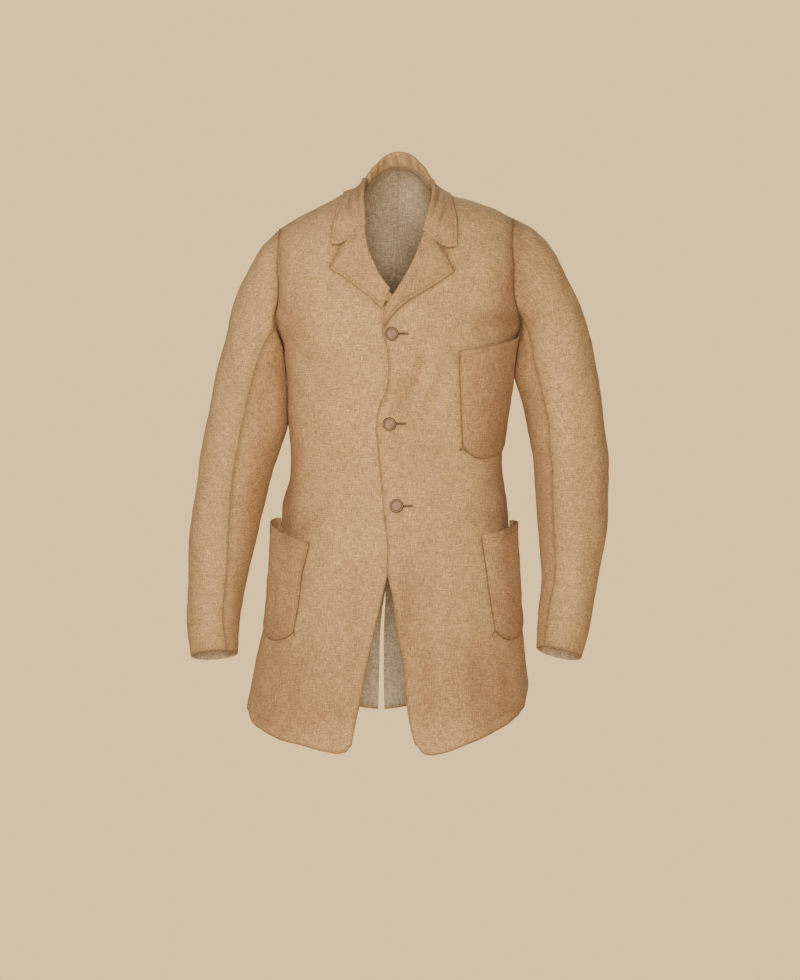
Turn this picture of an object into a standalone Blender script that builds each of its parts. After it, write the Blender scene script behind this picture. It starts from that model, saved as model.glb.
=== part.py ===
"""Sack coat, filled out as it is worn: cloth walls in metres, +Z up, the front faces -Y.

The origin lies at the height where the neck and shoulders of a wearer carry the coat.
Wearer's right is -X and wearer's left is +X. All tables are in millimetres.
"""

import math

import bmesh
import bpy
import numpy as np

MM = 0.001
CLOTH = 1.8
LINING = 1.0
SEAM_GAP = 0.3
LINING_GAP = 0.4
LAID_ON = 1.1
ROLL_RADIUS = 2.5
ROUND_ACROSS = 2.3
ROUND_OVER = 2.4
CHEST_Z = -130.0
SIDE_SEAM = 93.0
UNDERARM_Z = -205.0
SIDE_HEM_Z = -735.0
HEM_DIP_FROM = -540.0
BACK_HEM_DROP = 5.0
RIGHT = -1
LEFT = 1
FRONT = -1
BACK = 1


def table(names, rows):
    """Named columns from rows of numbers."""
    columns = names.split()
    return {name: np.array([row[i] for row in rows], float) for i, name in enumerate(columns)}


def read(rows, key, value, where):
    """The value column at where along the key column, on a smooth curve through the rows."""
    x, y = rows[key], rows[value]
    if x[0] > x[-1]:
        x, y = x[::-1], y[::-1]
    where = np.clip(where, x[0], x[-1])
    slope = np.gradient(y, x)
    i = np.clip(np.searchsorted(x, where) - 1, 0, len(x) - 2)
    step = x[i + 1] - x[i]
    t = (where - x[i]) / step
    near = (2 * t**3 - 3 * t**2 + 1) * y[i] + (t**3 - 2 * t**2 + t) * step * slope[i]
    far = (3 * t**2 - 2 * t**3) * y[i + 1] + (t**3 - t**2) * step * slope[i + 1]
    return near + far


def ease(t):
    """A soft step from 0 to 1."""
    t = np.clip(t, 0.0, 1.0)
    return t * t * (3 - 2 * t)


def unit(v):
    return v / np.maximum(np.linalg.norm(v, axis=-1, keepdims=True), 1e-9)


# Half widths and depths of the body at each height, from the chest down to the hem.
BODY = table("z right left front back", [
    (-150, 186, 184, 133, 127),
    (-169, 185, 183, 134, 127),
    (-186, 178, 180, 135, 126),
    (-205, 168, 173, 135, 124),
    (-233, 165.5, 168, 134, 119),
    (-268, 161.5, 163.5, 131, 113),
    (-304, 159.5, 159, 126, 108),
    (-339, 157.5, 154.5, 121, 104),
    (-372, 155.5, 151, 118.5, 102),
    (-404, 156.5, 153, 117.5, 103),
    (-437, 166, 157.5, 118.5, 106),
    (-470, 168.5, 160.5, 122.5, 112),
    (-529, 177, 168.5, 130.5, 122),
    (-599, 190.5, 178, 139.5, 131),
    (-674, 207, 186, 147, 137),
    (-705, 213.5, 189.5, 148.5, 138),
    (-735, 219, 183.5, 150, 139),
    (-810, 224, 183, 152, 140),
])

# The line over the shoulders and the back of the neck: its height each side and how far back it lies.
RIDGE = table("x right left y", [
    (-15, 49, 49, 71),
    (0, 51.5, 51.5, 74),
    (15, 49, 49.7, 71),
    (25, 43.7, 45.0, 64.5),
    (36, 35, 36.4, 52.5),
    (46.5, 23, 23, 38),
    (60, 14.5, 14.5, 24),
    (75, 9.5, 8.5, 15),
    (100, -2.5, 1.5, 10),
    (127, -16, -8, 8),
    (150, -29, -17, 8),
    (170, -43, -28, 8),
    (190, -64, -42, 8),
])

# How far out the armhole seam runs at each height.
ARMHOLE = table("z right left", [
    (-28, 169.5, 168),
    (-45, 170.5, 166.5),
    (-65, 173, 165.5),
    (-98, 175.5, 168),
    (-126, 172.5, 167.3),
    (-150, 173.5, 169.5),
    (-169, 178, 176),
    (-182, 176, 178.5),
    (-196, 171.8, 175.5),
])

# The front edge of the right front, which lies underneath, and its roll line above the top button.
RIGHT_EDGE = table("z x", [
    (26, -46),
    (14, -49.5),
    (0, -51.5),
    (-20, -52.5),
    (-40, -51.7),
    (-62, -48.8),
    (-80, -44.5),
    (-97, -37),
    (-113, -29),
    (-127, -19.5),
    (-138, -10),
    (-160, 3),
    (-185, 11),
    (-230, 15),
    (-340, 16),
    (-450, 14),
    (-490, 5),
    (-515, -6),
    (-540, -15),
    (-561, -20),
    (-610, -31),
    (-668, -44),
    (-733, -57),
    (-760, -63),
    (-792, -68),
    (-806, -69),
])

# The front edge of the left front, which lies on top, and its roll line. It waves between the buttons.
LEFT_EDGE = table("z x", [
    (26, 47),
    (14, 51),
    (0, 52),
    (-14, 50),
    (-32, 45.3),
    (-51, 40.5),
    (-74, 33),
    (-96, 23.5),
    (-116, 12.5),
    (-132, 2.5),
    (-146, -6.8),
    (-162, -15.2),
    (-189, -22),
    (-220, -14),
    (-247, -12),
    (-275, -15),
    (-299, -25),
    (-323, -30),
    (-356, -28),
    (-389, -25),
    (-434, -21),
    (-467, -18),
    (-500, -14),
    (-540, -14),
    (-572, -7),
    (-620, -1),
    (-674, 9),
    (-733, 14),
    (-776, 22),
    (-795, 28),
    (-806, 30),
])

# The front hem, lowest near the front corners.
RIGHT_HEM = table("x z", [
    (60, -780),
    (66, -784),
    (71, -793.5),
    (79, -797.5),
    (103, -795.5),
    (135, -787),
    (173, -777),
    (195, -765),
    (211, -752),
    (218.5, -737),
    (224, -735),
])
LEFT_HEM = table("x z", [
    (18, -780),
    (26, -785),
    (33, -795.5),
    (45, -800.5),
    (62, -798.5),
    (100, -785),
    (140, -769),
    (163, -756),
    (176, -744),
    (183.5, -735),
    (190, -734),
])

# The centre back seam, and half the gap of the vent below its top.
CENTRE_BACK = table("z x gap", [
    (50, 0, 0),
    (-250, -4, 0),
    (-450, -13, 0),
    (-558, -17, 0),
    (-580, -19.5, 1.9),
    (-617, -22.8, 3.3),
    (-674, -24, 4.0),
    (-735, -24.3, 5.2),
    (-745, -24.3, 5.3),
])

# How far the left front's edge stands off the right front between the buttons.
EDGE_LIFT = table("z lift", [
    (-120, 0),
    (-160, 0.6),
    (-196, 0.2),
    (-260, 4.5),
    (-325, 0.2),
    (-385, 2.6),
    (-444, 0.2),
    (-500, 1.8),
    (-560, 5),
    (-700, 3),
    (-806, 1),
])

# Soft folds: where each lies, from which height to which, how wide and how deep. Plus stands out.
FRONT_FOLDS = table("x top bottom lean width depth", [
    (-108, -60, -215, 14, 17, -2.6),
    (106, -60, -200, -16, 17, -2.6),
    (-92, -360, -450, 18, 22, -2.4),
    (84, -350, -440, -14, 22, -2.4),
    (-112, -560, -800, -16, 24, 3.4),
    (84, -560, -800, 12, 24, 3.4),
    (-76, -600, -800, -6, 18, -2.4),
    (132, -640, -790, 14, 20, -2.2),
    (46, -225, -330, -28, 20, -1.8),
])
BACK_FOLDS = table("x top bottom lean width depth", [
    (-118, -30, -200, 18, 18, -2.6),
    (118, -30, -200, -18, 18, -2.6),
    (-62, -340, -450, 12, 26, -2.6),
    (66, -340, -450, -12, 26, -2.6),
    (-96, -520, -735, -14, 26, 3.2),
    (92, -520, -735, 14, 26, 3.2),
    (-148, -560, -735, -12, 20, -2.4),
    (142, -560, -735, 12, 20, -2.4),
])

# Each sleeve from the armhole to the cuff, as rings seen from the front: outer and inner point,
# how far forward the middle lies, half depth, how far the ring tips forward, and the seam's angle.
RIGHT_SLEEVE = table("station outer_x outer_z inner_x inner_z middle_y depth tilt seam", [
    (0, -170, -43, -168, -205, 6, 58, 0, 124),
    (1, -196, -69, -165, -214, 4, 62, 0, 116),
    (2, -221, -108, -162, -224, 2, 66, 0, 107),
    (3, -237, -146, -161, -238, 2, 67, 0, 101),
    (4, -248, -196, -161, -258, 2, 67, 0, 95),
    (5, -262.5, -250, -158, -288, 4, 66, 0, 88),
    (6, -277.5, -322, -160, -330, 7, 64, 0, 83.5),
    (7, -291, -405, -185, -405, 8, 61, 2, 89),
    (8, -302, -485, -203, -485, 3, 57, 5, 99),
    (9, -305, -565, -220.5, -562, -9, 53, 8, 110),
    (10, -304.5, -620, -229, -617, -19, 49, 9, 113),
    (11, -300, -660, -233, -656, -27, 46, 10, 127),
])
LEFT_SLEEVE = table("station outer_x outer_z inner_x inner_z middle_y depth tilt seam", [
    (0, 168, -28, 172, -208, 6, 58, 0, 127),
    (1, 198, -44, 171, -214, 4, 62, 0, 123),
    (2, 228, -78, 170, -220, 2, 66, 0, 119),
    (3, 253, -127, 168, -230, 2, 67, 0, 118),
    (4, 275, -183, 167, -245, 2, 67, 0, 117),
    (5, 290, -250, 170, -264, 4, 66, 0, 116),
    (6, 299, -318, 186, -318, 7, 63, 0, 118),
    (7, 306, -390, 196, -390, 8, 60, 2, 122),
    (8, 305, -465, 202, -465, 3, 57, 5, 125),
    (9, 292, -545, 207, -548, -9, 53, 8, 123),
    (10, 280, -608, 203, -600, -19, 49, 9, 130),
    (11, 266, -663, 200, -648, -28, 46, 10, 134),
])

# The lapels: where each row leaves the roll line, and its point on the outer edge.
RIGHT_LAPEL = table("roll_z x z", [
    (-42, -80, -70),
    (-52, -88, -85),
    (-64, -97, -101),
    (-78, -77, -113),
    (-91, -60, -127),
    (-105, -45, -138),
    (-118, -34, -147.5),
    (-127, -27.5, -153.5),
    (-133, -22.5, -158.5),
])
LEFT_LAPEL = table("roll_z x z", [
    (-52, 58, -71),
    (-61, 69, -87),
    (-72, 79, -106.5),
    (-86, 61, -119),
    (-102, 41, -131.5),
    (-120, 18, -145),
    (-140, -1, -160),
    (-161, -13, -174),
    (-181, -20, -186),
])

# The collar from its front end (0) to the centre back (1): height of the stand, how upright it is,
# how far the fall bows out, and its outer edge each side as a distance out and an angle over the shoulder.
COLLAR = table("share stand upright bow right_x right_over left_x left_over", [
    (0.00, 2.0, 0.15, 1.8, 96, 25.6, 84, 22.4),
    (0.14, 3.0, 0.45, 0.9, 92.5, 39.6, 84.5, 35.5),
    (0.28, 4.5, 0.8, -0.5, 86, 55, 81.5, 51.7),
    (0.40, 6.0, 0.95, -1.8, 79.5, 71, 76.5, 69),
    (0.50, 7.5, 1.0, -2.4, 75.5, 90, 74, 90),
    (0.62, 11.0, 1.0, -1.8, 72, 105, 70, 105),
    (0.75, 14.8, 1.0, -0.4, 57, 110, 55, 110),
    (0.88, 17.3, 1.0, 0.6, 32, 119, 31, 119),
    (1.00, 18.0, 1.0, 0.8, 0, 125, 0, 125),
])

# Patch pockets: the inner side by height, and the numbers that shape the rest.
RIGHT_HIP_SIDE = table("z x", [(-466, -124), (-496, -127), (-542, -138), (-580, -142), (-621, -150),
                               (-640, -153)])
LEFT_HIP_SIDE = table("z x", [(-466, 117), (-485, 120), (-540, 128), (-588, 135), (-621, 140), (-640, 142)])
CHEST_SIDE = table("z x", [(-186, 86), (-220, 88), (-300, 91), (-355, 95), (-380, 97)])
POCKETS = {
    "pocket_hip_right": dict(side=RIGHT, inner=RIGHT_HIP_SIDE, top=(-497, -461), end=(92.2, 92),
                             bottom=-636, corners=(11, 25), bulge=7.0, mouth=11.5, lean=0.7),
    "pocket_hip_left": dict(side=LEFT, inner=LEFT_HIP_SIDE, top=(-486, -465), end=(92.2, 92),
                            bottom=-635, corners=(12, 25), bulge=4.8, mouth=10.5, lean=0.7),
    "pocket_chest": dict(side=LEFT, inner=CHEST_SIDE, top=(-221, -190), end=(79, 89.5),
                         bottom=-373.5, corners=(15, 15), bulge=3.9, mouth=9.0, lean=-0.8),
}
BUTTONS = {"button_top": (-9, -196), "button_middle": (-12, -325), "button_bottom": (-2, -444)}
BUTTON_PROFILE = ((0.0, 0.0), (8.2, 0.0), (9.7, 0.8), (10.0, 2.0), (9.3, 3.4), (7.9, 3.9), (6.2, 3.5),
                  (3.2, 4.3), (0.0, 4.7))

# Rows of the panels: heights below the chest, then angles over the shoulder.
ROW_HEIGHTS = (-735, -715, -685, -645, -605, -570, -540, -505, -470, -437, -404, -372, -340,
               -308, -276, -250, -228, -205, -196, -183, -169, -150, -130)
ROW_ANGLES = (16, 31, 46, 60, 74, 90)
UNDERARM_ROW = ROW_HEIGHTS.index(-205)
FRONT_SEAM_ROW = ROW_HEIGHTS.index(-169)
HIND_SEAM_ROW = ROW_HEIGHTS.index(-150)
FRONT_SHARES = (0, 0.03, 0.075, 0.13, 0.19, 0.25, 0.32, 0.39, 0.46, 0.53, 0.6, 0.67, 0.74, 0.81, 0.88,
                0.94, 1)
BACK_SHARES = (0, 0.07, 0.16, 0.26, 0.36, 0.47, 0.58, 0.69, 0.8, 0.9, 1)
SLEEVE_RINGS = 24

MATERIALS = {
    "coat_cloth": ((0.47, 0.31, 0.17), 0.92),
    "lining_cloth": ((0.33, 0.26, 0.18), 0.85),
    "button_cloth": ((0.30, 0.19, 0.10), 0.7),
}


def near_side(x, right, left):
    """The right or the left column's value by the side that x lies on."""
    return np.where(x < 0, right, left)


def ridge_height(x):
    far = np.abs(x)
    return near_side(x, read(RIDGE, "x", "right", far), read(RIDGE, "x", "left", far))


def half_width(x, z):
    return near_side(x, read(BODY, "z", "right", z), read(BODY, "z", "left", z))


def angle_across(x, z):
    """The angle round the body, in degrees from its middle, at which the section at z reaches x."""
    ratio = np.clip(np.abs(x) / half_width(x, np.minimum(z, CHEST_Z)), 0, 1)
    return np.sign(x) * np.degrees(np.arcsin(ratio ** (ROUND_ACROSS / 2)))


def level_of(x, z):
    """Millimetres below the chest as a number under 0, or the angle over the shoulder in degrees."""
    rise = np.clip((z - CHEST_Z) / (ridge_height(x) - CHEST_Z), 0, 1)
    return np.where(z < CHEST_Z, z - CHEST_Z, np.degrees(np.arcsin(rise ** (ROUND_OVER / 2))))


def plain_point(angle, level, facing):
    """A point of the body's form before its folds."""
    turn = np.radians(angle)
    over = np.radians(np.clip(level, 0, 90))
    z = CHEST_Z + np.minimum(level, 0)
    x = np.sign(angle) * half_width(angle, z) * np.abs(np.sin(turn)) ** (2 / ROUND_ACROSS)
    ahead = np.cos(turn) * facing < 0
    depth = np.where(ahead, -read(BODY, "z", "front", z), read(BODY, "z", "back", z))
    y = depth * np.abs(np.cos(turn)) ** (2 / ROUND_ACROSS)
    rise = np.sin(over) ** (2 / ROUND_OVER)
    reach = np.maximum(np.cos(over), 0) ** (2 / ROUND_OVER)
    z = z + rise * (ridge_height(x) - CHEST_Z)
    ridge_y = read(RIDGE, "x", "y", np.abs(x))
    y = ridge_y + (y - ridge_y) * reach
    return np.stack([x, y, z], -1)


def fold_height(folds, x, z):
    """How far the soft folds stand out at a place."""
    out = np.zeros(np.broadcast(x, z).shape)
    for i in range(len(folds["x"])):
        top, bottom = folds["top"][i], folds["bottom"][i]
        down = np.clip((top - z) / (top - bottom), 0, 1)
        fade = np.sin(np.pi * down) ** 0.8 if bottom > -700 else np.sin(np.pi / 2 * down)
        middle = folds["x"][i] + folds["lean"][i] * down
        out = out + folds["depth"][i] * fade * np.exp(-(((x - middle) / folds["width"][i]) ** 2))
    return out


def lap_height(x, z):
    """How far the left front lies outside the right front, with its edge lifting between buttons."""
    depth_in = x - read(LEFT_EDGE, "z", "x", z)
    low = ease((-95 - z) / 50)
    flat = (CLOTH + 1.0) * (1 - ease((x - 24) / 34)) * low
    return flat + read(EDGE_LIFT, "z", "lift", z) * np.exp(-((np.maximum(depth_in, 0) / 16) ** 2)) * low


def surface(angle, level, facing, out=0.0, over=False):
    """A point on a panel's outer face, moved out, and the direction out of the cloth there."""
    angle, level = np.broadcast_arrays(np.asarray(angle, float), np.asarray(level, float))
    across = plain_point(angle + 0.4, level, facing) - plain_point(angle - 0.4, level, facing)
    up = plain_point(angle, np.minimum(level + 0.4, 90), facing) - plain_point(angle, level - 0.4, facing)
    normal = unit(np.cross(across, up)) * -facing
    point = plain_point(angle, level, facing)
    x, z = point[..., 0], point[..., 2]
    folds = FRONT_FOLDS if facing == FRONT else BACK_FOLDS
    lift = fold_height(folds, x, z) * ease((80 - np.abs(angle)) / 14)
    if over:
        lift = lift + lap_height(x, z)
    return point + normal * (lift + out)[..., None], normal


def place(x, z, side, out=0.0):
    """The point of a front at x and z as seen from the front, moved out, and its outward direction."""
    x, z = np.broadcast_arrays(np.asarray(x, float), np.asarray(z, float))
    return surface(angle_across(x, z), level_of(x, z), FRONT, out, side == LEFT)


def front_grid(side, shares, out=0.0):
    """Outer points and directions of a front, by rows up and columns from its edge to its side."""
    edge = RIGHT_EDGE if side == RIGHT else LEFT_EDGE
    hem = RIGHT_HEM if side == RIGHT else LEFT_HEM
    side_name = "right" if side == RIGHT else "left"
    shares = np.array(shares, float)
    angles, levels = [], []
    for z in ROW_HEIGHTS:
        dip = max(0.0, (HEM_DIP_FROM - z) / (HEM_DIP_FROM - SIDE_HEM_Z)) ** 1.5
        edge_z = float(z)
        for _ in range(12):
            edge_x = read(edge, "z", "x", edge_z)
            edge_z = z + dip * (read(hem, "x", "z", side * edge_x) - SIDE_HEM_Z)
        if z > UNDERARM_Z:
            end = angle_across(side * read(ARMHOLE, "z", side_name, z), z)
        else:
            end = side * SIDE_SEAM
        row = angle_across(edge_x, edge_z) + (end - angle_across(edge_x, edge_z)) * shares
        width = half_width(side, z)
        x = width * np.abs(np.sin(np.radians(row))) ** (2 / ROUND_ACROSS)
        hem_z = np.where(np.abs(row) < 90, read(hem, "x", "z", x * side * np.sign(row)), SIDE_HEM_Z)
        hem_z[0] = read(hem, "x", "z", side * edge_x)
        angles.append(row)
        levels.append(z + dip * (hem_z - SIDE_HEM_Z) - CHEST_Z)
    for over in ROW_ANGLES:
        rise = math.sin(math.radians(over)) ** (2 / ROUND_OVER)
        edge_x = 45.0 * side
        for _ in range(40):
            edge_z = CHEST_Z + rise * (ridge_height(edge_x) - CHEST_Z)
            edge_x = 0.5 * edge_x + 0.5 * read(edge, "z", "x", edge_z)
        end_z = CHEST_Z + rise * (ridge_height(170.0 * side) - CHEST_Z)
        end = angle_across(side * read(ARMHOLE, "z", side_name, end_z), CHEST_Z)
        start = angle_across(edge_x, CHEST_Z)
        angles.append(start + (end - start) * shares)
        levels.append(np.full(len(shares), float(over)))
    return surface(np.array(angles), np.array(levels), FRONT, out, side == LEFT)


def back_grid(side, shares, out=0.0):
    """Outer points and directions of a back, by rows up and columns from the centre to its side."""
    side_name = "right" if side == RIGHT else "left"
    shares = np.array(shares, float)
    angles, levels = [], []
    rows = [(z, z, z - CHEST_Z) for z in ROW_HEIGHTS]
    for over in ROW_ANGLES:
        rise = math.sin(math.radians(over)) ** (2 / ROUND_OVER)
        centre_z, arm_z = [CHEST_Z + rise * (ridge_height(x) - CHEST_Z) for x in (0.0, 170.0 * side)]
        rows.append((centre_z, arm_z, over))
    for centre_z, z, level in rows:
        gap = max(0.0, read(CENTRE_BACK, "z", "gap", centre_z))
        start_x = read(CENTRE_BACK, "z", "x", centre_z) + side * gap
        start = angle_across(start_x, min(z, CHEST_Z))
        if z > UNDERARM_Z:
            end = angle_across(side * read(ARMHOLE, "z", side_name, z), min(z, CHEST_Z))
        else:
            end = side * (180 - SIDE_SEAM)
        row = start + (end - start) * shares
        across = np.abs(np.sin(np.radians(row))) ** (2 / ROUND_ACROSS)
        x = np.sign(row) * half_width(row, min(z, CHEST_Z)) * across
        drop = BACK_HEM_DROP * ease((-640 - z) / 95) * np.exp(-(((x - start_x) / 26) ** 2))
        angles.append(row)
        levels.append(level - drop)
    return surface(np.array(angles), np.array(levels), BACK, out)


def trim(grid, gap, edges):
    """Draws chosen edges of a grid back along the cloth by gap."""
    grid = grid.copy()
    if "first_column" in edges:
        grid[:, 0] += unit(grid[:, 1] - grid[:, 0]) * gap
    if "last_column" in edges:
        grid[:, -1] += unit(grid[:, -2] - grid[:, -1]) * gap
    if "first_row" in edges:
        grid[0] += unit(grid[1] - grid[0]) * gap
    if "last_row" in edges:
        grid[-1] += unit(grid[-2] - grid[-1]) * gap
    return grid


def grid_directions(grid, outside):
    """Directions out of a free grid, turned the way of outside, an array of vectors or one vector."""
    along = np.gradient(grid, axis=0)
    across = np.gradient(grid, axis=1)
    normal = unit(np.cross(along, across))
    turned = np.sign((normal * outside).sum(-1, keepdims=True).sum())
    return normal * (turned if turned else 1.0)


def material(name):
    colour, roughness = MATERIALS[name]
    made = bpy.data.materials.get(name) or bpy.data.materials.new(name)
    made.use_nodes = True
    shader = made.node_tree.nodes["Principled BSDF"]
    shader.inputs["Base Color"].default_value = (*colour, 1.0)
    shader.inputs["Roughness"].default_value = roughness
    shader.inputs["Metallic"].default_value = 0.0
    made.diffuse_color = (*colour, 1.0)
    return made


def mesh_object(name, points, faces, cloth, collection):
    mesh = bpy.data.meshes.new(name)
    mesh.from_pydata([tuple(p) for p in points * MM], [], faces)
    obj = bpy.data.objects.new(name, mesh)
    collection.objects.link(obj)
    shape = bmesh.new()
    shape.from_mesh(mesh)
    bmesh.ops.recalc_face_normals(shape, faces=shape.faces)
    shape.to_mesh(mesh)
    shape.free()
    mesh.materials.append(material(cloth))
    return obj


def wall_object(name, outer, inner, cloth, collection):
    """A closed wall between two grids of points."""
    rows, columns = outer.shape[:2]
    half = rows * columns
    points = np.concatenate([outer.reshape(-1, 3), inner.reshape(-1, 3)])
    faces = []
    for i in range(rows - 1):
        for j in range(columns - 1):
            a = i * columns + j
            b, c, d = a + 1, a + columns, a + columns + 1
            faces += [(a, b, d), (a, d, c), (half + a, half + d, half + b), (half + a, half + c, half + d)]
    rim = list(range(columns - 1))
    rim += [i * columns + columns - 1 for i in range(rows - 1)]
    rim += [(rows - 1) * columns + j for j in range(columns - 1, 0, -1)]
    rim += [i * columns for i in range(rows - 1, 0, -1)]
    for p, q in zip(rim, rim[1:] + rim[:1]):
        if p < q:
            faces += [(p, half + p, half + q), (p, half + q, q)]
        else:
            faces += [(p, half + p, q), (half + p, half + q, q)]
    return mesh_object(name, points, faces, cloth, collection)


def build_panels(collection):
    """The two fronts, the two backs and the two pieces of back lining."""
    for side, name in ((RIGHT, "right"), (LEFT, "left")):
        outer, normal = front_grid(side, FRONT_SHARES)
        edges = ("last_column", "last_row", "first_column")
        wall_object(f"front_{name}", trim(outer, SEAM_GAP * 0.6, edges),
                    trim(outer - normal * CLOTH, SEAM_GAP * 0.6, edges), "coat_cloth", collection)
        outer, normal = back_grid(side, BACK_SHARES)
        wall_object(f"back_{name}", trim(outer, SEAM_GAP / 2, edges),
                    trim(outer - normal * CLOTH, SEAM_GAP / 2, edges), "coat_cloth", collection)
        face = outer - normal * (CLOTH + LINING_GAP)
        inset = []
        for grid in (face, face - normal * LINING):
            drawn_in = trim(grid, 2.5, ("last_column", "last_row", "first_row"))
            inset.append(trim(drawn_in, SEAM_GAP / 2, ("first_column",)))
        wall_object(f"lining_back_{name}", *inset, "lining_cloth", collection)


def armhole_loop(side):
    """Armhole points from the front seam of the sleeve over the shoulder and under the arm, back to it."""
    front = front_grid(side, FRONT_SHARES)[0][UNDERARM_ROW:, -1]
    back = back_grid(side, BACK_SHARES)[0][UNDERARM_ROW:, -1]
    front_seam = FRONT_SEAM_ROW - UNDERARM_ROW
    hind_seam = HIND_SEAM_ROW - UNDERARM_ROW
    top = np.concatenate([front[front_seam:], back[::-1][1:len(back) - hind_seam]])
    under = np.concatenate([back[: hind_seam + 1][::-1], front[1 : front_seam + 1]])
    return top, under


def body_reach(y, z, side):
    """How far out the body's side lies at y and z."""
    width = read(BODY, "z", "right" if side == RIGHT else "left", z)
    depth = np.where(y < 0, read(BODY, "z", "front", z), read(BODY, "z", "back", z))
    return width * (1 - np.clip(np.abs(y) / depth, 0, 1) ** ROUND_ACROSS) ** (1 / ROUND_ACROSS)


def ring_frame(rows, station):
    """A sleeve ring's middle, its outward half width and its forward half depth."""
    here = {column: read(rows, "station", column, station) for column in rows}
    outer = np.array([here["outer_x"], 0, here["outer_z"]])
    inner = np.array([here["inner_x"], 0, here["inner_z"]])
    middle = (outer + inner) / 2 + np.array([0, here["middle_y"], 0])
    tip = math.radians(here["tilt"])
    depth = here["depth"] * np.array([0, -math.cos(tip), math.sin(tip)])
    return middle, (outer - inner) / 2, depth


def ring_points(frame, turn):
    middle, reach, depth = frame
    turn = np.radians(turn)[:, None]
    return middle + np.cos(turn) * reach + np.sin(turn) * depth


def sleeve_grids(side, rings):
    """Grids of a sleeve's top and under piece, from the armhole down to the cuff, and the ring middles."""
    rows = RIGHT_SLEEVE if side == RIGHT else LEFT_SLEEVE
    loops = armhole_loop(side)
    first = ring_frame(rows, 0)
    starts = []
    for loop in loops:
        away = loop - first[0]
        turn = np.arctan2(away @ first[2] / (first[2] @ first[2]), away @ first[1] / (first[1] @ first[1]))
        starts.append(np.degrees(np.unwrap(turn)))
    starts[1] += 360 * round((starts[0][-1] - starts[1][0]) / 360)
    grids = ([loops[0] + [side * SEAM_GAP * 1.5, 0, 0]], [loops[1] + [side * SEAM_GAP * 1.5, 0, 0]])
    middles = [first[0]]
    last = rows["station"][-1]
    for i in range(1, rings):
        station = last * (i / (rings - 1)) ** 1.15
        frame = ring_frame(rows, station)
        front = read(rows, "station", "seam", station)
        hind = starts[0][-1] + (-85 - starts[0][-1]) * ease(station / 8)
        middles.append(frame[0])
        for k, (begin, end) in enumerate(((front, hind), (hind, front - 360))):
            even = begin + (end - begin) * np.linspace(0, 1, len(loops[k]))
            turn = starts[k] + (even - starts[k]) * ease(station / 4)
            stay = 1 - ease(station / 2.5)
            points = ring_points(frame, turn) + (loops[k] - ring_points(first, starts[k])) * stay
            z = points[:, 2]
            pocket = 4.6 if side == LEFT else 0.0
            beside = ease((-170 - z) / 20) * ease((z + 380) / 30) * ease((-2 - points[:, 1]) / 16)
            clear = 1.3 + pocket * beside
            limit = body_reach(points[:, 1], np.minimum(z, CHEST_Z), side) + clear * ease(0.45 + station)
            near = side * points[:, 0] < limit
            points[:, 0] = np.where(near & (z < -165), side * limit, points[:, 0])
            grids[k].append(points)
    return np.array(grids[0]), np.array(grids[1]), np.array(middles)


def build_sleeves(collection):
    """A top sleeve and an under sleeve each side, with seams along the front and the hind arm."""
    for side, name in ((RIGHT, "right"), (LEFT, "left")):
        top, under, middles = sleeve_grids(side, SLEEVE_RINGS)
        whole = np.concatenate([top, under[:, 1:-1]], axis=1)
        closed = np.concatenate([whole[:, -1:], whole, whole[:, :1]], axis=1)
        normal = unit(np.cross(np.gradient(closed, axis=0), np.gradient(closed, axis=1)))[:, 1:-1]
        outward = whole - middles[:, None]
        normal *= np.sign((normal * outward).sum())
        normal[0] = unit(outward[0] * np.array([0.0, 1.0, 1.0]))
        top_normal = normal[:, : top.shape[1]]
        under_normal = np.concatenate([normal[:, top.shape[1] - 1 :], normal[:, :1]], axis=1)
        edges = ("first_column", "last_column")
        for piece, grid, out in (("top", top, top_normal), ("under", under, under_normal)):
            wall_object(f"sleeve_{piece}_{name}", trim(grid, SEAM_GAP / 2, edges),
                        trim(grid - out * CLOTH, SEAM_GAP / 2, edges), "coat_cloth", collection)


def lapel_grid(side):
    """The middle of a lapel's cloth: rows down the roll line, columns round the roll to the edge."""
    rows = RIGHT_LAPEL if side == RIGHT else LEFT_LAPEL
    faces, directions = front_grid(side, FRONT_SHARES)
    roll, roll_normal = faces[:, 0] - directions[:, 0] * CLOTH / 2, directions[:, 0]
    grid, outside = [], []
    for i in range(len(rows["x"])):
        roll_z = rows["roll_z"][i]
        start = np.array([np.interp(roll_z, roll[:, 2], roll[:, k]) for k in range(3)])
        above = np.array([np.interp(roll_z + 6, roll[:, 2], roll[:, k]) for k in range(3)])
        normal = unit(np.array([np.interp(roll_z, roll[:, 2], roll_normal[:, k]) for k in range(3)]))
        inward = unit(np.cross(normal, above - start)) * side
        inward *= np.sign(-side * inward[0]) or 1.0
        reach = abs(rows["x"][i] - start[0]) + abs(rows["z"][i] - roll_z)
        radius = ROLL_RADIUS * min(1.0, max(0.8, reach / 30))
        middle = start + inward * 1.1 + normal * radius
        row = []
        for turn in (-90, -45, 0, 45, 90):
            t = math.radians(turn)
            row.append(middle + radius * (math.cos(t) * inward + math.sin(t) * normal))
        fold_height_here = 2 * radius - CLOTH / 2
        for share in (0.25, 0.5, 0.75, 1.0):
            x = start[0] + (rows["x"][i] - start[0]) * share
            z = roll_z + (rows["z"][i] - roll_z) * share
            high = fold_height_here + (LAID_ON + CLOTH / 2 - fold_height_here) * share
            row.append(place(x, z, side, high + 1.6 * math.sin(math.pi * share))[0])
        grid.append(row)
        outside.append(normal)
    return np.array(grid), np.array(outside)


def over_point(x, over, out):
    """A point at a distance out and an angle over the shoulder: up the front to 90, then down the back."""
    facing = FRONT if over <= 90 else BACK
    return surface(angle_across(x, CHEST_Z), over if over <= 90 else 180 - over, facing, out)


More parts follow.
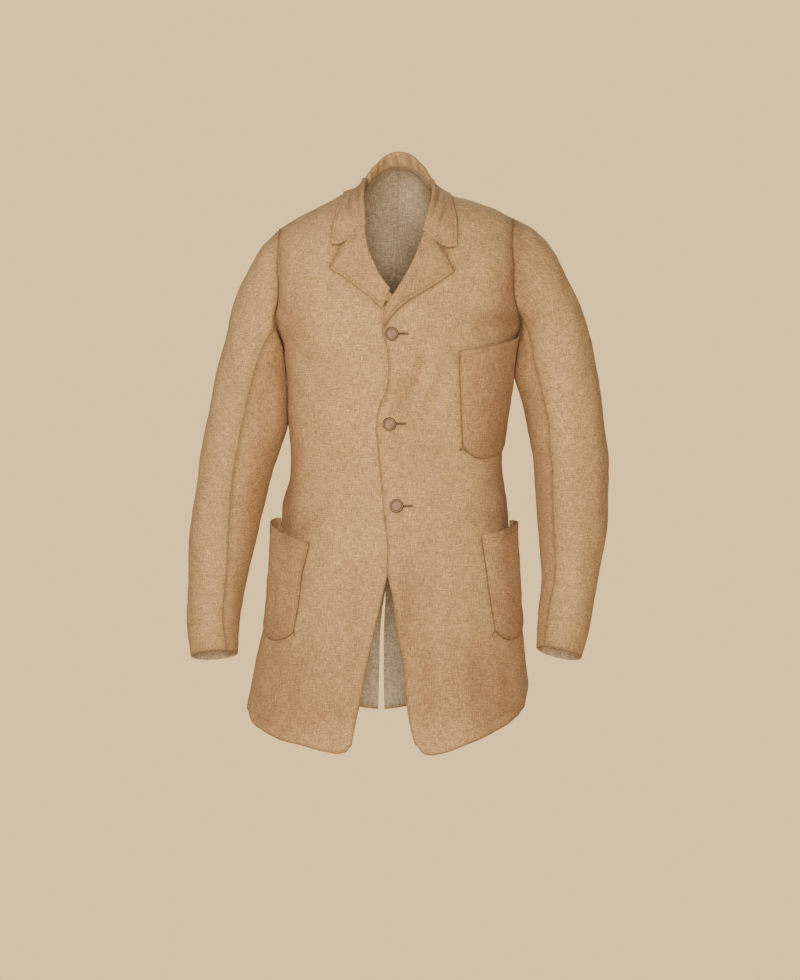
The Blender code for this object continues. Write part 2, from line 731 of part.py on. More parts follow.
def neck_point(side, share):
    """A point of the neck seam, from the front end of the collar to the centre back."""
    edge = RIGHT_EDGE if side == RIGHT else LEFT_EDGE
    gorge_z = -40.0 if side == RIGHT else -50.0
    shoulder_z = 23.0
    if share < 0.5:
        z = gorge_z + (shoulder_z - gorge_z) * share / 0.5
        return place(read(edge, "z", "x", z), z, side, -CLOTH / 2)
    x = side * 46.5 * (1 - (share - 0.5) / 0.5)
    return over_point(x, 90.0, -CLOTH / 2)


def collar_section(side, share):
    """The middle of the collar's cloth at one place: up the stand, round the fold and down the fall."""
    point, normal = neck_point(side, share)
    before, _ = neck_point(side, max(share - 0.02, 0))
    after, _ = neck_point(side, min(share + 0.02, 1))
    along = unit(after - before)
    inward = np.cross(normal, along)
    inward *= np.sign(inward @ np.array([-side * 1.0, 0, 1.0])) or 1.0
    upright = read(COLLAR, "share", "upright", share)
    up = unit(inward * (1 - upright) + np.array([0, 0, 1.0]) * upright)
    level_out = unit(point * np.array([1.0, 1.0, 0]) - np.array([0, 8.0, 0]))
    out = normal * (1 - upright) + level_out * upright
    out = unit(out - up * (out @ up))
    stand = read(COLLAR, "share", "stand", share)
    lean = math.sqrt(max(0.0, 1 - float(inward @ up) ** 2))
    low = point + inward * (3 * SEAM_GAP + CLOTH / 2 * lean)
    high = low + up * stand
    radius = ROLL_RADIUS + 0.6 * ease(share * 3)
    middle = high + out * radius
    row = [low, (low + high) / 2, high]
    for turn in (45, 90, 135, 180):
        t = math.radians(turn)
        row.append(middle - radius * math.cos(t) * out + radius * math.sin(t) * up)
    name = "right" if side == RIGHT else "left"
    far_x = side * read(COLLAR, "share", f"{name}_x", share)
    far_over = float(read(COLLAR, "share", f"{name}_over", share))
    end, end_normal = over_point(far_x, far_over, LAID_ON + CLOTH / 2)
    start = row[-1]
    bowing = read(COLLAR, "share", "bow", share)
    for part in (0.25, 0.5, 0.75, 1.0):
        bow = math.sin(math.pi * part)
        fall = start + (end - start) * part + (out + end_normal) * bowing * bow * (1.5 - part)
        fall = fall + np.array([0, 0, -10.0]) * bow * max(0.0, 1 - share / 0.1)
        if share < 0.42:
            limit, _ = place(fall[0], fall[2], side, LAID_ON + CLOTH / 2 + 0.4)
            fall[1] = min(fall[1], limit[1])
        row.append(fall)
    return row


def collar_grid(stations):
    shares = np.concatenate([np.linspace(0, 1, stations), np.linspace(1, 0, stations)[1:]])
    sides = [RIGHT] * stations + [LEFT] * (stations - 1)
    return np.array([collar_section(side, share) for side, share in zip(sides, shares)])


def build_collar_and_lapels(collection):
    grid = collar_grid(19)
    normal = grid_directions(grid, np.array([0, 0, 1.0]))
    upper = normal[:, 4, 2].mean()
    normal = normal * (1 if upper > 0 else -1)
    wall_object("collar", grid + normal * CLOTH / 2, grid - normal * CLOTH / 2, "coat_cloth", collection)
    for side, name in ((RIGHT, "right"), (LEFT, "left")):
        grid, outside = lapel_grid(side)
        normal = grid_directions(grid, outside[:, None])
        normal = normal * (1 if (normal[:, -1] * outside).sum() > 0 else -1)
        wall_object(f"lapel_{name}", grid + normal * CLOTH / 2, grid - normal * CLOTH / 2, "coat_cloth",
                    collection)


def pocket_grid(shape, rows, columns, out):
    """A pocket's face from its front's own points, moved out, open along the top."""
    side = shape["side"]
    grid, outside = [], []
    for down in np.linspace(0, 1, rows):
        row, directions = [], []
        for across in np.linspace(0, 1, columns):
            top = shape["top"][0] + (shape["top"][1] - shape["top"][0]) * across
            inner_corner, outer_corner = shape["corners"]
            corner = inner_corner * max(0.0, 1 - across / 0.25) ** 2
            corner += outer_corner * max(0.0, (across - 0.3) / 0.7) ** 1.5
            z = top + (shape["bottom"] + corner - top) * down
            start = angle_across(read(shape["inner"], "z", "x", z), z)
            end = side * (shape["end"][0] + (shape["end"][1] - shape["end"][0]) * down)
            angle = start + (end - start) * across
            swell = max(0.0, 4 * across * (1 - across)) ** 0.6
            body = shape["bulge"] * swell * math.sin(math.pi * (0.35 + 0.65 * down))
            mouth = shape["mouth"] * swell * (1 - down) ** 2 * (1 + shape["lean"] * (across - 0.5))
            off = LAID_ON + max(0.0, body) + mouth + out
            point, normal = surface(angle, z - CHEST_Z, FRONT, off, side == LEFT)
            row.append(point)
            directions.append(normal)
        grid.append(row)
        outside.append(directions)
    return np.array(grid), np.array(outside)


def build_pockets(collection):
    for name, shape in POCKETS.items():
        inner, _ = pocket_grid(shape, 9, 10, 0.0)
        outer, _ = pocket_grid(shape, 9, 10, CLOTH)
        wall_object(name, outer, inner, "coat_cloth", collection)


def build_buttons(collection):
    """Cloth covered buttons, a low dome with a raised rim, turned about the direction out of the front."""
    for name, (x, z) in BUTTONS.items():
        foot, axis = place(float(x), float(z), LEFT, 1.1)
        flat = unit(np.cross(axis, np.array([0, 0, 1.0])))
        upright = np.cross(flat, axis)
        steps = 16
        points, faces = [foot], []
        for radius, height in BUTTON_PROFILE[1:-1]:
            for k in range(steps):
                t = 2 * math.pi * k / steps
                points.append(foot + axis * height + radius * (math.cos(t) * flat + math.sin(t) * upright))
        points.append(foot + axis * BUTTON_PROFILE[-1][1])
        rings = len(BUTTON_PROFILE) - 2
        for k in range(steps):
            n = (k + 1) % steps
            faces.append((0, 1 + k, 1 + n))
            for ring in range(rings - 1):
                low, high = 1 + ring * steps, 1 + (ring + 1) * steps
                faces.append((low + k, low + n, high + n, high + k))
            faces.append((1 + (rings - 1) * steps + k, 1 + (rings - 1) * steps + n, len(points) - 1))
        mesh_object(name, np.array(points), faces, "button_cloth", collection)


def main():
    for obj in list(bpy.data.objects):
        bpy.data.objects.remove(obj, do_unlink=True)
    collection = bpy.data.collections.new("sack_coat")
    bpy.context.scene.collection.children.link(collection)
    build_panels(collection)
    build_sleeves(collection)
    build_collar_and_lapels(collection)
    build_pockets(collection)
    build_buttons(collection)


main()
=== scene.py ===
import math

import bmesh
import bpy
import numpy as np
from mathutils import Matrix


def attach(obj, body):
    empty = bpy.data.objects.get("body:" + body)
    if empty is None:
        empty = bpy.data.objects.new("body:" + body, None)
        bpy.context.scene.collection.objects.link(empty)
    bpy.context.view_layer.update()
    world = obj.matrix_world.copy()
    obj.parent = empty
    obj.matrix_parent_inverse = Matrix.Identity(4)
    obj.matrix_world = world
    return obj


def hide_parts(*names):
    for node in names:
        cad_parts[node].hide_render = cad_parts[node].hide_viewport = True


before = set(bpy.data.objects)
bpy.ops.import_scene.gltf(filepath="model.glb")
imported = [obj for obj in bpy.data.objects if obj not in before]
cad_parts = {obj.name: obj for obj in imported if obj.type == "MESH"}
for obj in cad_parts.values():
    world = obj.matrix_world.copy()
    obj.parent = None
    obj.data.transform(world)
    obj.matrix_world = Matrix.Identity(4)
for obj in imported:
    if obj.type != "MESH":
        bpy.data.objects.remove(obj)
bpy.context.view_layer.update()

# The form of the coat: a hollow body of rounded sections, cut into panels by its seams.
# The cloth of every panel follows this form, with the soft folds and creases that show laid on it.
# Sizes in the tables are in millimetres; wearer's right is -X and the front faces -Y.
MM = 0.001
CLOTH = 1.8
ROUND_ACROSS = 2.3
ROUND_OVER = 2.4
CHEST_Z = -130.0
RIGHT = -1
LEFT = 1
SIDES = {RIGHT: "right", LEFT: "left"}
FRONT = -1
BACK = 1


def table(names, rows):
    """Named columns from rows of numbers."""
    columns = names.split()
    return {name: np.array([row[i] for row in rows], float) for i, name in enumerate(columns)}


def read(rows, key, value, where):
    """The value column at where along the key column, on a smooth curve through the rows."""
    x, y = rows[key], rows[value]
    if x[0] > x[-1]:
        x, y = x[::-1], y[::-1]
    where = np.clip(where, x[0], x[-1])
    slope = np.gradient(y, x)
    i = np.clip(np.searchsorted(x, where) - 1, 0, len(x) - 2)
    step = x[i + 1] - x[i]
    t = (where - x[i]) / step
    near = (2 * t**3 - 3 * t**2 + 1) * y[i] + (t**3 - 2 * t**2 + t) * step * slope[i]
    far = (3 * t**2 - 2 * t**3) * y[i + 1] + (t**3 - t**2) * step * slope[i + 1]
    return near + far


def ease(t):
    """A soft step from 0 to 1."""
    t = np.clip(t, 0.0, 1.0)
    return t * t * (3 - 2 * t)


def unit(v):
    return v / np.maximum(np.linalg.norm(v, axis=-1, keepdims=True), 1e-9)


# Half widths and depths of the body at each height, from the chest down to the hem.
BODY = table("z right left front back", [
    (-150, 186, 184, 133, 127),
    (-169, 185, 183, 134, 127),
    (-186, 178, 180, 135, 126),
    (-205, 168, 173, 135, 124),
    (-233, 165.5, 168, 134, 119),
    (-268, 161.5, 163.5, 131, 113),
    (-304, 159.5, 159, 126, 108),
    (-339, 157.5, 154.5, 121, 104),
    (-372, 155.5, 151, 118.5, 102),
    (-404, 156.5, 153, 117.5, 103),
    (-437, 166, 157.5, 118.5, 106),
    (-470, 168.5, 160.5, 122.5, 112),
    (-529, 177, 168.5, 130.5, 122),
    (-599, 190.5, 178, 139.5, 131),
    (-674, 207, 186, 147, 137),
    (-705, 213.5, 189.5, 148.5, 138),
    (-735, 219, 183.5, 150, 139),
    (-810, 224, 183, 152, 140),
])

# The line over the shoulders and the back of the neck: its height each side and how far back it lies.
RIDGE = table("x right left y", [
    (-15, 49, 49, 71),
    (0, 51.5, 51.5, 74),
    (15, 49, 49.7, 71),
    (25, 43.7, 45.0, 64.5),
    (36, 35, 36.4, 52.5),
    (46.5, 23, 23, 38),
    (60, 14.5, 14.5, 24),
    (75, 9.5, 8.5, 15),
    (100, -2.5, 1.5, 10),
    (127, -16, -8, 8),
    (150, -29, -17, 8),
    (170, -43, -28, 8),
    (190, -64, -42, 8),
])

# How far out the armhole seam runs at each height.
ARMHOLE = table("z right left", [
    (-28, 169.5, 168), (-45, 170.5, 166.5), (-65, 173, 165.5), (-98, 175.5, 168), (-126, 172.5, 167.3),
    (-150, 173.5, 169.5), (-169, 178, 176), (-182, 176, 178.5), (-196, 171.8, 175.5),
])

# The front edge of the right front, which lies underneath, and its roll line above the top button.
RIGHT_EDGE = table("z x", [
    (26, -46), (14, -49.5), (0, -51.5), (-20, -52.5), (-40, -51.7), (-62, -48.8), (-80, -44.5),
    (-97, -37), (-113, -29), (-127, -19.5), (-138, -10), (-160, 3), (-185, 11), (-230, 15), (-340, 16),
    (-450, 14), (-490, 5), (-515, -6), (-540, -15), (-561, -20), (-610, -31), (-668, -44), (-733, -57),
    (-760, -63), (-792, -68), (-806, -69),
])

# The front edge of the left front, which lies on top, and its roll line. It waves between the buttons.
LEFT_EDGE = table("z x", [
    (26, 47), (14, 51), (0, 52), (-14, 50), (-32, 45.3), (-51, 40.5), (-74, 33), (-96, 23.5),
    (-116, 12.5), (-132, 2.5), (-146, -6.8), (-162, -15.2), (-189, -22), (-220, -14), (-247, -12),
    (-275, -15), (-299, -25), (-323, -30), (-356, -28), (-389, -25), (-434, -21), (-467, -18),
    (-500, -14), (-540, -14), (-572, -7), (-620, -1), (-674, 9), (-733, 14), (-776, 22), (-795, 28),
    (-806, 30),
])
EDGES = {RIGHT: RIGHT_EDGE, LEFT: LEFT_EDGE}

# The front hem, lowest near the front corners.
RIGHT_HEM = table("x z", [
    (60, -780), (66, -784), (71, -793.5), (79, -797.5), (103, -795.5), (135, -787), (173, -777),
    (195, -765), (211, -752), (218.5, -737), (224, -735),
])
LEFT_HEM = table("x z", [
    (18, -780), (26, -785), (33, -795.5), (45, -800.5), (62, -798.5), (100, -785), (140, -769),
    (163, -756), (176, -744), (183.5, -735), (190, -734),
])
HEMS = {RIGHT: RIGHT_HEM, LEFT: LEFT_HEM}

# The centre back seam, and half the gap of the vent below its top.
CENTRE_BACK = table("z x gap", [
    (50, 0, 0), (-250, -4, 0), (-450, -13, 0), (-558, -17, 0), (-580, -19.5, 1.9), (-617, -22.8, 3.3),
    (-674, -24, 4.0), (-735, -24.3, 5.2), (-745, -24.3, 5.3),
])

# How far the left front's edge stands off the right front between the buttons.
EDGE_LIFT = table("z lift", [
    (-120, 0), (-160, 0.6), (-196, 0.2), (-260, 4.5), (-325, 0.2), (-385, 2.6), (-444, 0.2),
    (-500, 1.8), (-560, 5), (-700, 3), (-806, 1),
])

# Soft folds: where each lies, from which height to which, how wide and how deep. Plus stands out.
FRONT_FOLDS = table("x top bottom lean width depth", [
    (-108, -60, -215, 14, 17, -2.6),
    (106, -60, -200, -16, 17, -2.6),
    (-92, -360, -450, 18, 22, -2.4),
    (84, -350, -440, -14, 22, -2.4),
    (-112, -560, -800, -16, 24, 3.4),
    (84, -560, -800, 12, 24, 3.4),
    (-76, -600, -800, -6, 18, -2.4),
    (132, -640, -790, 14, 20, -2.2),
    (46, -225, -330, -28, 20, -1.8),
])
BACK_FOLDS = table("x top bottom lean width depth", [
    (-118, -30, -200, 18, 18, -2.6),
    (118, -30, -200, -18, 18, -2.6),
    (-62, -340, -450, 12, 26, -2.6),
    (66, -340, -450, -12, 26, -2.6),
    (-96, -520, -735, -14, 26, 3.2),
    (92, -520, -735, 14, 26, 3.2),
    (-148, -560, -735, -12, 20, -2.4),
    (142, -560, -735, 12, 20, -2.4),
])


def near_side(rows, key, x, where):
    """The right or the left column's value at where, by the side that x lies on."""
    return np.where(x < 0, read(rows, key, "right", where), read(rows, key, "left", where))


def ridge_height(x):
    return near_side(RIDGE, "x", x, np.abs(x))


def half_width(x, z):
    return near_side(BODY, "z", x, z)


def angle_across(x, z):
    """The angle round the body, in degrees from its middle, at which the section at z reaches x."""
    ratio = np.clip(np.abs(x) / half_width(x, np.minimum(z, CHEST_Z)), 0, 1)
    return np.sign(x) * np.degrees(np.arcsin(ratio ** (ROUND_ACROSS / 2)))


def level_of(x, z):
    """Millimetres below the chest as a number under 0, or the angle over the shoulder in degrees."""
    rise = np.clip((z - CHEST_Z) / (ridge_height(x) - CHEST_Z), 0, 1)
    return np.where(z < CHEST_Z, z - CHEST_Z, np.degrees(np.arcsin(rise ** (ROUND_OVER / 2))))


def plain_point(angle, level, facing):
    """A point of the body's form before its folds."""
    turn = np.radians(angle)
    over = np.radians(np.clip(level, 0, 90))
    z = CHEST_Z + np.minimum(level, 0)
    x = np.sign(angle) * half_width(angle, z) * np.abs(np.sin(turn)) ** (2 / ROUND_ACROSS)
    ahead = np.cos(turn) * facing < 0
    depth = np.where(ahead, -read(BODY, "z", "front", z), read(BODY, "z", "back", z))
    y = depth * np.abs(np.cos(turn)) ** (2 / ROUND_ACROSS)
    rise = np.sin(over) ** (2 / ROUND_OVER)
    reach = np.maximum(np.cos(over), 0) ** (2 / ROUND_OVER)
    z = z + rise * (ridge_height(x) - CHEST_Z)
    ridge_y = read(RIDGE, "x", "y", np.abs(x))
    y = ridge_y + (y - ridge_y) * reach
    return np.stack([x, y, z], -1)


def fold_height(folds, x, z):
    """How far the soft folds stand out at a place."""
    out = np.zeros(np.broadcast(x, z).shape)
    for start, top, bottom, lean, width, depth in zip(*folds.values()):
        down = np.clip((top - z) / (top - bottom), 0, 1)
        fade = np.sin(np.pi * down) ** 0.8 if bottom > -700 else np.sin(np.pi / 2 * down)
        out = out + depth * fade * np.exp(-(((x - (start + lean * down)) / width) ** 2))
    return out


def lap_height(x, z):
    """How far the left front lies outside the right front, with its edge lifting between buttons."""
    depth_in = x - read(LEFT_EDGE, "z", "x", z)
    low = ease((-95 - z) / 50)
    flat = (CLOTH + 1.0) * (1 - ease((x - 24) / 34)) * low
    return flat + read(EDGE_LIFT, "z", "lift", z) * np.exp(-((np.maximum(depth_in, 0) / 16) ** 2)) * low


# Creases seen from the front and from behind: from one point to another, bowed aside, soft at both ends.
# Plus stands out and minus is a trough. Those behind are like the ones in front.
FRONT_CREASES = table("x0 z0 x1 z1 bow width depth", [
    (6, -300, 42, -214, -7, 7, -2.4),
    (20, -304, 58, -226, -6, 8, 1.7),
    (34, -312, 70, -262, -5, 9, -1.0),
    (62, -204, 88, -230, 3, 5, -1.2),
    (52, -206, 80, -240, 3, 6, 1.0),
    (12, -206, 58, -200, 5, 6, 1.2),
    (14, -216, 52, -216, 4, 6, -1.0),
    (-16, -212, -70, -236, 5, 8, 1.0),
    (-20, -230, -88, -262, 4, 9, -0.8),
    (-150, -205, -104, -258, -6, 9, -1.6),
    (-158, -222, -120, -290, -5, 8, 1.3),
    (-152, -262, -118, -330, -4, 9, -1.0),
    (150, -205, 112, -172, 5, 8, -1.2),
    (-128, -350, -84, -398, 5, 9, -1.2),
    (-140, -384, -92, -420, 5, 8, 1.0),
    (-140, -420, -88, -448, -4, 8, -0.9),
    (120, -392, 78, -418, -5, 9, -1.2),
    (128, -412, 70, -446, -4, 8, 1.0),
    (128, -442, 84, -466, 3, 8, -0.8),
    (-24, -330, -78, -352, 5, 9, 0.8),
    (-22, -348, -70, -382, 4, 9, -0.7),
    (2, -336, 58, -330, 5, 8, 0.8),
    (6, -352, 66, -362, 4, 9, -0.7),
    (10, -452, 62, -470, 5, 9, 0.8),
    (-30, -452, -76, -476, -5, 9, 0.8),
    (-36, -520, -52, -690, 6, 10, 1.2),
    (-62, -560, -72, -760, -6, 11, -1.2),
    (-100, -650, -118, -785, 5, 10, 1.2),
    (-146, -650, -168, -770, 4, 10, -1.3),
    (18, -540, 34, -700, -6, 10, 1.1),
    (44, -580, 54, -785, 5, 11, -1.1),
    (96, -640, 108, -770, -4, 10, 1.2),
    (150, -650, 160, -740, 4, 9, -1.2),
    (-70, -40, -112, -88, 5, 12, -0.9),
    (66, -44, 120, -74, -5, 12, -0.9),
])
BACK_CREASES = table("x0 z0 x1 z1 bow width depth", [
    (-150, -205, -92, -252, -6, 9, -1.5),
    (-156, -228, -104, -290, -5, 9, 1.3),
    (150, -205, 94, -250, 6, 9, -1.5),
    (154, -230, 106, -296, 5, 9, 1.2),
    (-70, -20, -120, -62, 5, 12, -1.0),
    (72, -20, 118, -58, -5, 12, -1.0),
    (-34, 8, -24, -70, 4, 13, -0.8),
    (30, 8, 26, -64, -4, 13, -0.8),
    (-128, -372, -66, -398, 6, 9, -1.1),
    (-136, -398, -50, -424, -5, 9, 1.1),
    (-120, -432, -60, -448, 4, 8, -0.9),
    (126, -376, 60, -402, -5, 9, -1.1),
    (132, -404, 54, -426, 5, 9, 1.1),
    (118, -436, 66, -452, -4, 8, -0.9),
    (-40, -500, -48, -680, 6, 12, -1.2),
    (28, -500, 36, -690, -6, 12, -1.2),
    (-76, -560, -84, -735, 5, 11, 1.2),
    (66, -560, 76, -735, -5, 11, 1.2),
    (-120, -600, -130, -730, 4, 10, -1.1),
    (116, -600, 128, -730, -4, 10, -1.1),
])
CREASE_GAIN = 1.6
RIPPLE_WAVES = 14
RIPPLE_SEED = 7


def creases(rows, x, z):
    """The sum of all creases of a table at x, z."""
    out = np.zeros(np.broadcast(x, z).shape)
    for x0, z0, x1, z1, bow, width, depth in zip(*rows.values()):
        length = np.hypot(x1 - x0, z1 - z0)
        part = ((x - x0) * (x1 - x0) + (z - z0) * (z1 - z0)) / length**2
        aside = ((x - x0) * -(z1 - z0) + (z - z0) * (x1 - x0)) / length
        aside = aside - bow * 4 * np.clip(part, 0, 1) * (1 - np.clip(part, 0, 1))
        fade = ease(part / 0.35 + 0.15) * ease((1 - part) / 0.35 + 0.15)
        out = out + depth * fade * np.exp(-((aside / width) ** 2))
    return out


def ripple(point, longest, seed):
    """A smooth unevenness between -1 and 1, with waves down to a third of the longest one in mm."""
    chance = np.random.default_rng(seed)
    out = np.zeros(point.shape[:-1])
    for _ in range(RIPPLE_WAVES):
        length = longest * chance.uniform(0.33, 1.0)
        way = unit(chance.normal(size=3)) * 2 * np.pi / length
        out = out + np.sin(point @ way + chance.uniform(0, 6.28))
    return out / math.sqrt(RIPPLE_WAVES) / 1.6


def uneven(point):
    """The cloth's slight unevenness from wear, everywhere."""
    return 1.1 * ripple(point, 150, RIPPLE_SEED) + 0.42 * ripple(point, 44, RIPPLE_SEED + 1)


def surface(angle, level, facing, out=0.0, over=False):
    """A point on a panel's outer face, moved out, and the direction out of the cloth there."""
    angle, level = np.broadcast_arrays(np.asarray(angle, float), np.asarray(level, float))
    across = plain_point(angle + 0.4, level, facing) - plain_point(angle - 0.4, level, facing)
    up = plain_point(angle, np.minimum(level + 0.4, 90), facing) - plain_point(angle, level - 0.4, facing)
    normal = unit(np.cross(across, up)) * -facing
    point = plain_point(angle, level, facing)
    x, z = point[..., 0], point[..., 2]
    folds, lines = (FRONT_FOLDS, FRONT_CREASES) if facing == FRONT else (BACK_FOLDS, BACK_CREASES)
    lift = (fold_height(folds, x, z) + CREASE_GAIN * creases(lines, x, z)) * ease((80 - np.abs(angle)) / 14)
    lift = lift + uneven(point)
    if over:
        lift = lift + lap_height(x, z)
    return point + normal * (lift + out)[..., None], normal


def place(x, z, side, out=0.0):
    """The point of a front at x and z as seen from the front, moved out, and its outward direction."""
    x, z = np.broadcast_arrays(np.asarray(x, float), np.asarray(z, float))
    return surface(angle_across(x, z), level_of(x, z), FRONT, out, side == LEFT)


# Soft stains of wear and handling, and painted shade at the sides, armholes, waist, sleeves and above the
# pocket mouths: where each lies as seen from the front, how far it spreads, how soiled and shaded it is and
# how rosy. Those behind are like the ones in front.
FRONT_STAINS_AND_SHADE = table("x z wide tall soil rosy", [
    (171, -84, 15, 62, 0.42, 0.5),
    (146, -176, 42, 17, 0.5, 0.8),
    (158, -140, 22, 40, 0.15, 0.6),
    (-152, -180, 30, 62, 0.1, 0.5),
    (-160, -430, 9, 90, 0.45, 0.6),
    (158, -430, 9, 90, 0.5, 0.6),
    (-168, -660, 26, 90, 0.22, 0.55),
    (-112, -700, 70, 60, 0.22, 0.35),
    (118, -690, 80, 70, 0.26, 0.45),
    (-70, -600, 50, 60, 0.1, 0.1),
    (150, -300, 30, 80, 0.18, 0.3),
    (-60, -735, 60, 16, 0.12, 0.3),
    (70, -735, 60, 16, 0.1, 0.3),
    (-171, -110, 9, 60, 0.2, 0.2),
    (-58, -126, 26, 20, 0.12, 0.0),
    (34, -146, 30, 18, 0.14, 0.0),
    (6, -290, 18, 30, 0.3, 0.25),
    (26, -248, 12, 26, 0.15, 0.3),
    (-158, -300, 14, 90, 0.25, 0.6),
    (-158, -402, 22, 66, 0.3, 0.8),
    (-116, -330, 34, 70, 0.0, 0.45),
    (148, -408, 26, 56, 0.42, 0.5),
    (12, -372, 22, 46, 0.12, 0.4),
    (60, -362, 50, 14, 0.08, 0.1),
    (-120, -462, 30, 34, 0.1, 0.55),
    (-128, -540, 26, 60, 0.1, 0.45),
    (12, -610, 14, 88, 0.35, 0.4),
    (34, -560, 18, 60, 0.05, 0.5),
    (116, -706, 52, 60, 0.05, 0.7),
    (46, -690, 30, 70, 0.1, 0.5),
    (-196, -712, 22, 66, 0.12, 0.6),
    (-112, -752, 60, 36, 0.08, 0.4),
    (-60, -640, 16, 80, 0.08, 0.3),
    (128, -460, 30, 16, 0.25, 0.4),
    (-140, -474, 30, 18, 0.25, 0.4),
    (-262, -110, 22, 40, 0.0, 0.3),
    (-198, -330, 22, 96, 0.25, 0.9),
    (-216, -470, 18, 100, 0.18, 0.7),
    (-232, -590, 10, 70, 0.2, 0.3),
    (-300, -520, 9, 130, 0.15, 0.1),
    (-268, -640, 30, 18, 0.08, 0.5),
    (192, -170, 16, 70, 0.3, 0.3),
    (200, -320, 16, 110, 0.3, 0.6),
    (210, -480, 14, 120, 0.2, 0.6),
    (300, -330, 12, 140, 0.25, 0.3),
    (250, -430, 30, 70, 0.0, 0.4),
    (236, -640, 30, 20, 0.1, 0.4),
])
BACK_STAINS_AND_SHADE = table("x z wide tall soil rosy", [
    (-170, -84, 14, 62, 0.3, 0.4),
    (170, -84, 14, 62, 0.3, 0.4),
    (-150, -190, 26, 56, 0.15, 0.6),
    (150, -190, 26, 56, 0.15, 0.6),
    (-150, -400, 26, 60, 0.25, 0.6),
    (148, -400, 26, 60, 0.25, 0.6),
    (-60, -420, 50, 30, 0.05, 0.4),
    (40, -330, 50, 60, 0.0, 0.35),
    (-20, -620, 16, 90, 0.2, 0.4),
    (110, -690, 50, 60, 0.05, 0.6),
    (-120, -700, 54, 56, 0.08, 0.6),
    (-204, -330, 22, 100, 0.2, 0.7),
    (-262, -360, 30, 40, 0.1, 0.5),
    (206, -330, 22, 100, 0.2, 0.7),
    (266, -360, 30, 40, 0.1, 0.5),
    (0, 20, 40, 24, 0.15, 0.2),
])


def stains_and_shade(point, ahead):
    """Soil with painted shade, and rosiness, at each point, by how far it faces forward."""
    soil, rosy = np.zeros(point.shape[:-1]), np.zeros(point.shape[:-1])
    for rows, weight in ((FRONT_STAINS_AND_SHADE, ahead), (BACK_STAINS_AND_SHADE, 1 - ahead)):
        for x, z, wide, tall, soiled_and_shaded, reddened in zip(*rows.values()):
            near = ((point[..., 0] - x) / wide) ** 2 + ((point[..., 2] - z) / tall) ** 2
            soil = soil + soiled_and_shaded * weight * np.exp(-near)
            rosy = rosy + reddened * weight * np.exp(-near)
    return soil, rosy


# The cloth: an even plain weave of tan yarns, matt, a little slubby and fuzzed by wear, sewn in panels.
# Each panel is one thin shell with rounded edges, sunk along its seams, thicker where its edge is turned in.
# Its weave, slubs, rosy stains and soiled seams are worked from its own map in metres along its threads; its
# stains and seams also carry painted shade.
THREAD_PITCH = 0.00105
EDGE_STEPS = (0.0, 0.6, 1.3, 2.1, 3.1, 4.4, 6.2)
SIDE_SEAM = 93.0
SIDE_HEM_Z = -735.0
HEM_DIP_FROM = -540.0
BACK_HEM_DROP = 5.0
UNDERARM_Z = -205.0
FRONT_SEAM_Z = -169
HIND_SEAM_Z = -150
NECK_START = 45.0
ARM_TOP = 170.0


def spread(length, pitch):
    """Shares from 0 to 1 at an even pitch in mm, closer together near both ends."""
    near = np.array(EDGE_STEPS) / length
    count = max(2, int(round((length - 2 * EDGE_STEPS[-1]) / pitch)))
    middle = np.linspace(near[-1], 1 - near[-1], count + 1)[1:-1]
    return np.concatenate([near, middle, 1 - near[::-1]])


HEIGHTS = np.concatenate([
    SIDE_HEM_Z + np.array(EDGE_STEPS),
    np.linspace(SIDE_HEM_Z + 10, UNDERARM_Z, 122),
    np.linspace(UNDERARM_Z, FRONT_SEAM_Z, 10)[1:],
    np.linspace(FRONT_SEAM_Z, HIND_SEAM_Z, 6)[1:],
    np.linspace(HIND_SEAM_Z, CHEST_Z, 6)[1:],
])
UNDERARM_ROW, FRONT_SEAM_ROW, HIND_SEAM_ROW = [
    int(np.argmin(np.abs(HEIGHTS - z))) for z in (UNDERARM_Z, FRONT_SEAM_Z, HIND_SEAM_Z)]


def run_along(points):
    """How far along a line of points each of them lies."""
    return np.concatenate([[0], np.cumsum(np.linalg.norm(np.diff(points, axis=0), axis=1))])


def over_angles(count):
    """Angles over the shoulder at an even pitch along the cloth, closer at the shoulder seam."""
    over = np.radians(np.linspace(0, 90, 4000))
    reach = 110 * np.maximum(np.cos(over), 0) ** (2 / ROUND_OVER)
    arc = run_along(np.stack([reach, 140 * np.sin(over) ** (2 / ROUND_OVER)], -1))
    even = np.linspace(0, arc[-1] - EDGE_STEPS[-1], count + 1)[1:]
    where = np.concatenate([even, arc[-1] - np.array(EDGE_STEPS[-2::-1])])
    return np.degrees(np.interp(where, arc, over))


OVERS = over_angles(44)


def height_over(x, over):
    """The height of the shoulder's form at x and an angle over the shoulder."""
    return CHEST_Z + math.sin(math.radians(over)) ** (2 / ROUND_OVER) * (ridge_height(x) - CHEST_Z)


def seam_angle(side, z, side_seam):
    """The angle at which a panel ends: at the side seam, or above it at the armhole."""
    if z > UNDERARM_Z:
        return angle_across(side * read(ARMHOLE, "z", SIDES[side], z), z)
    return side * side_seam


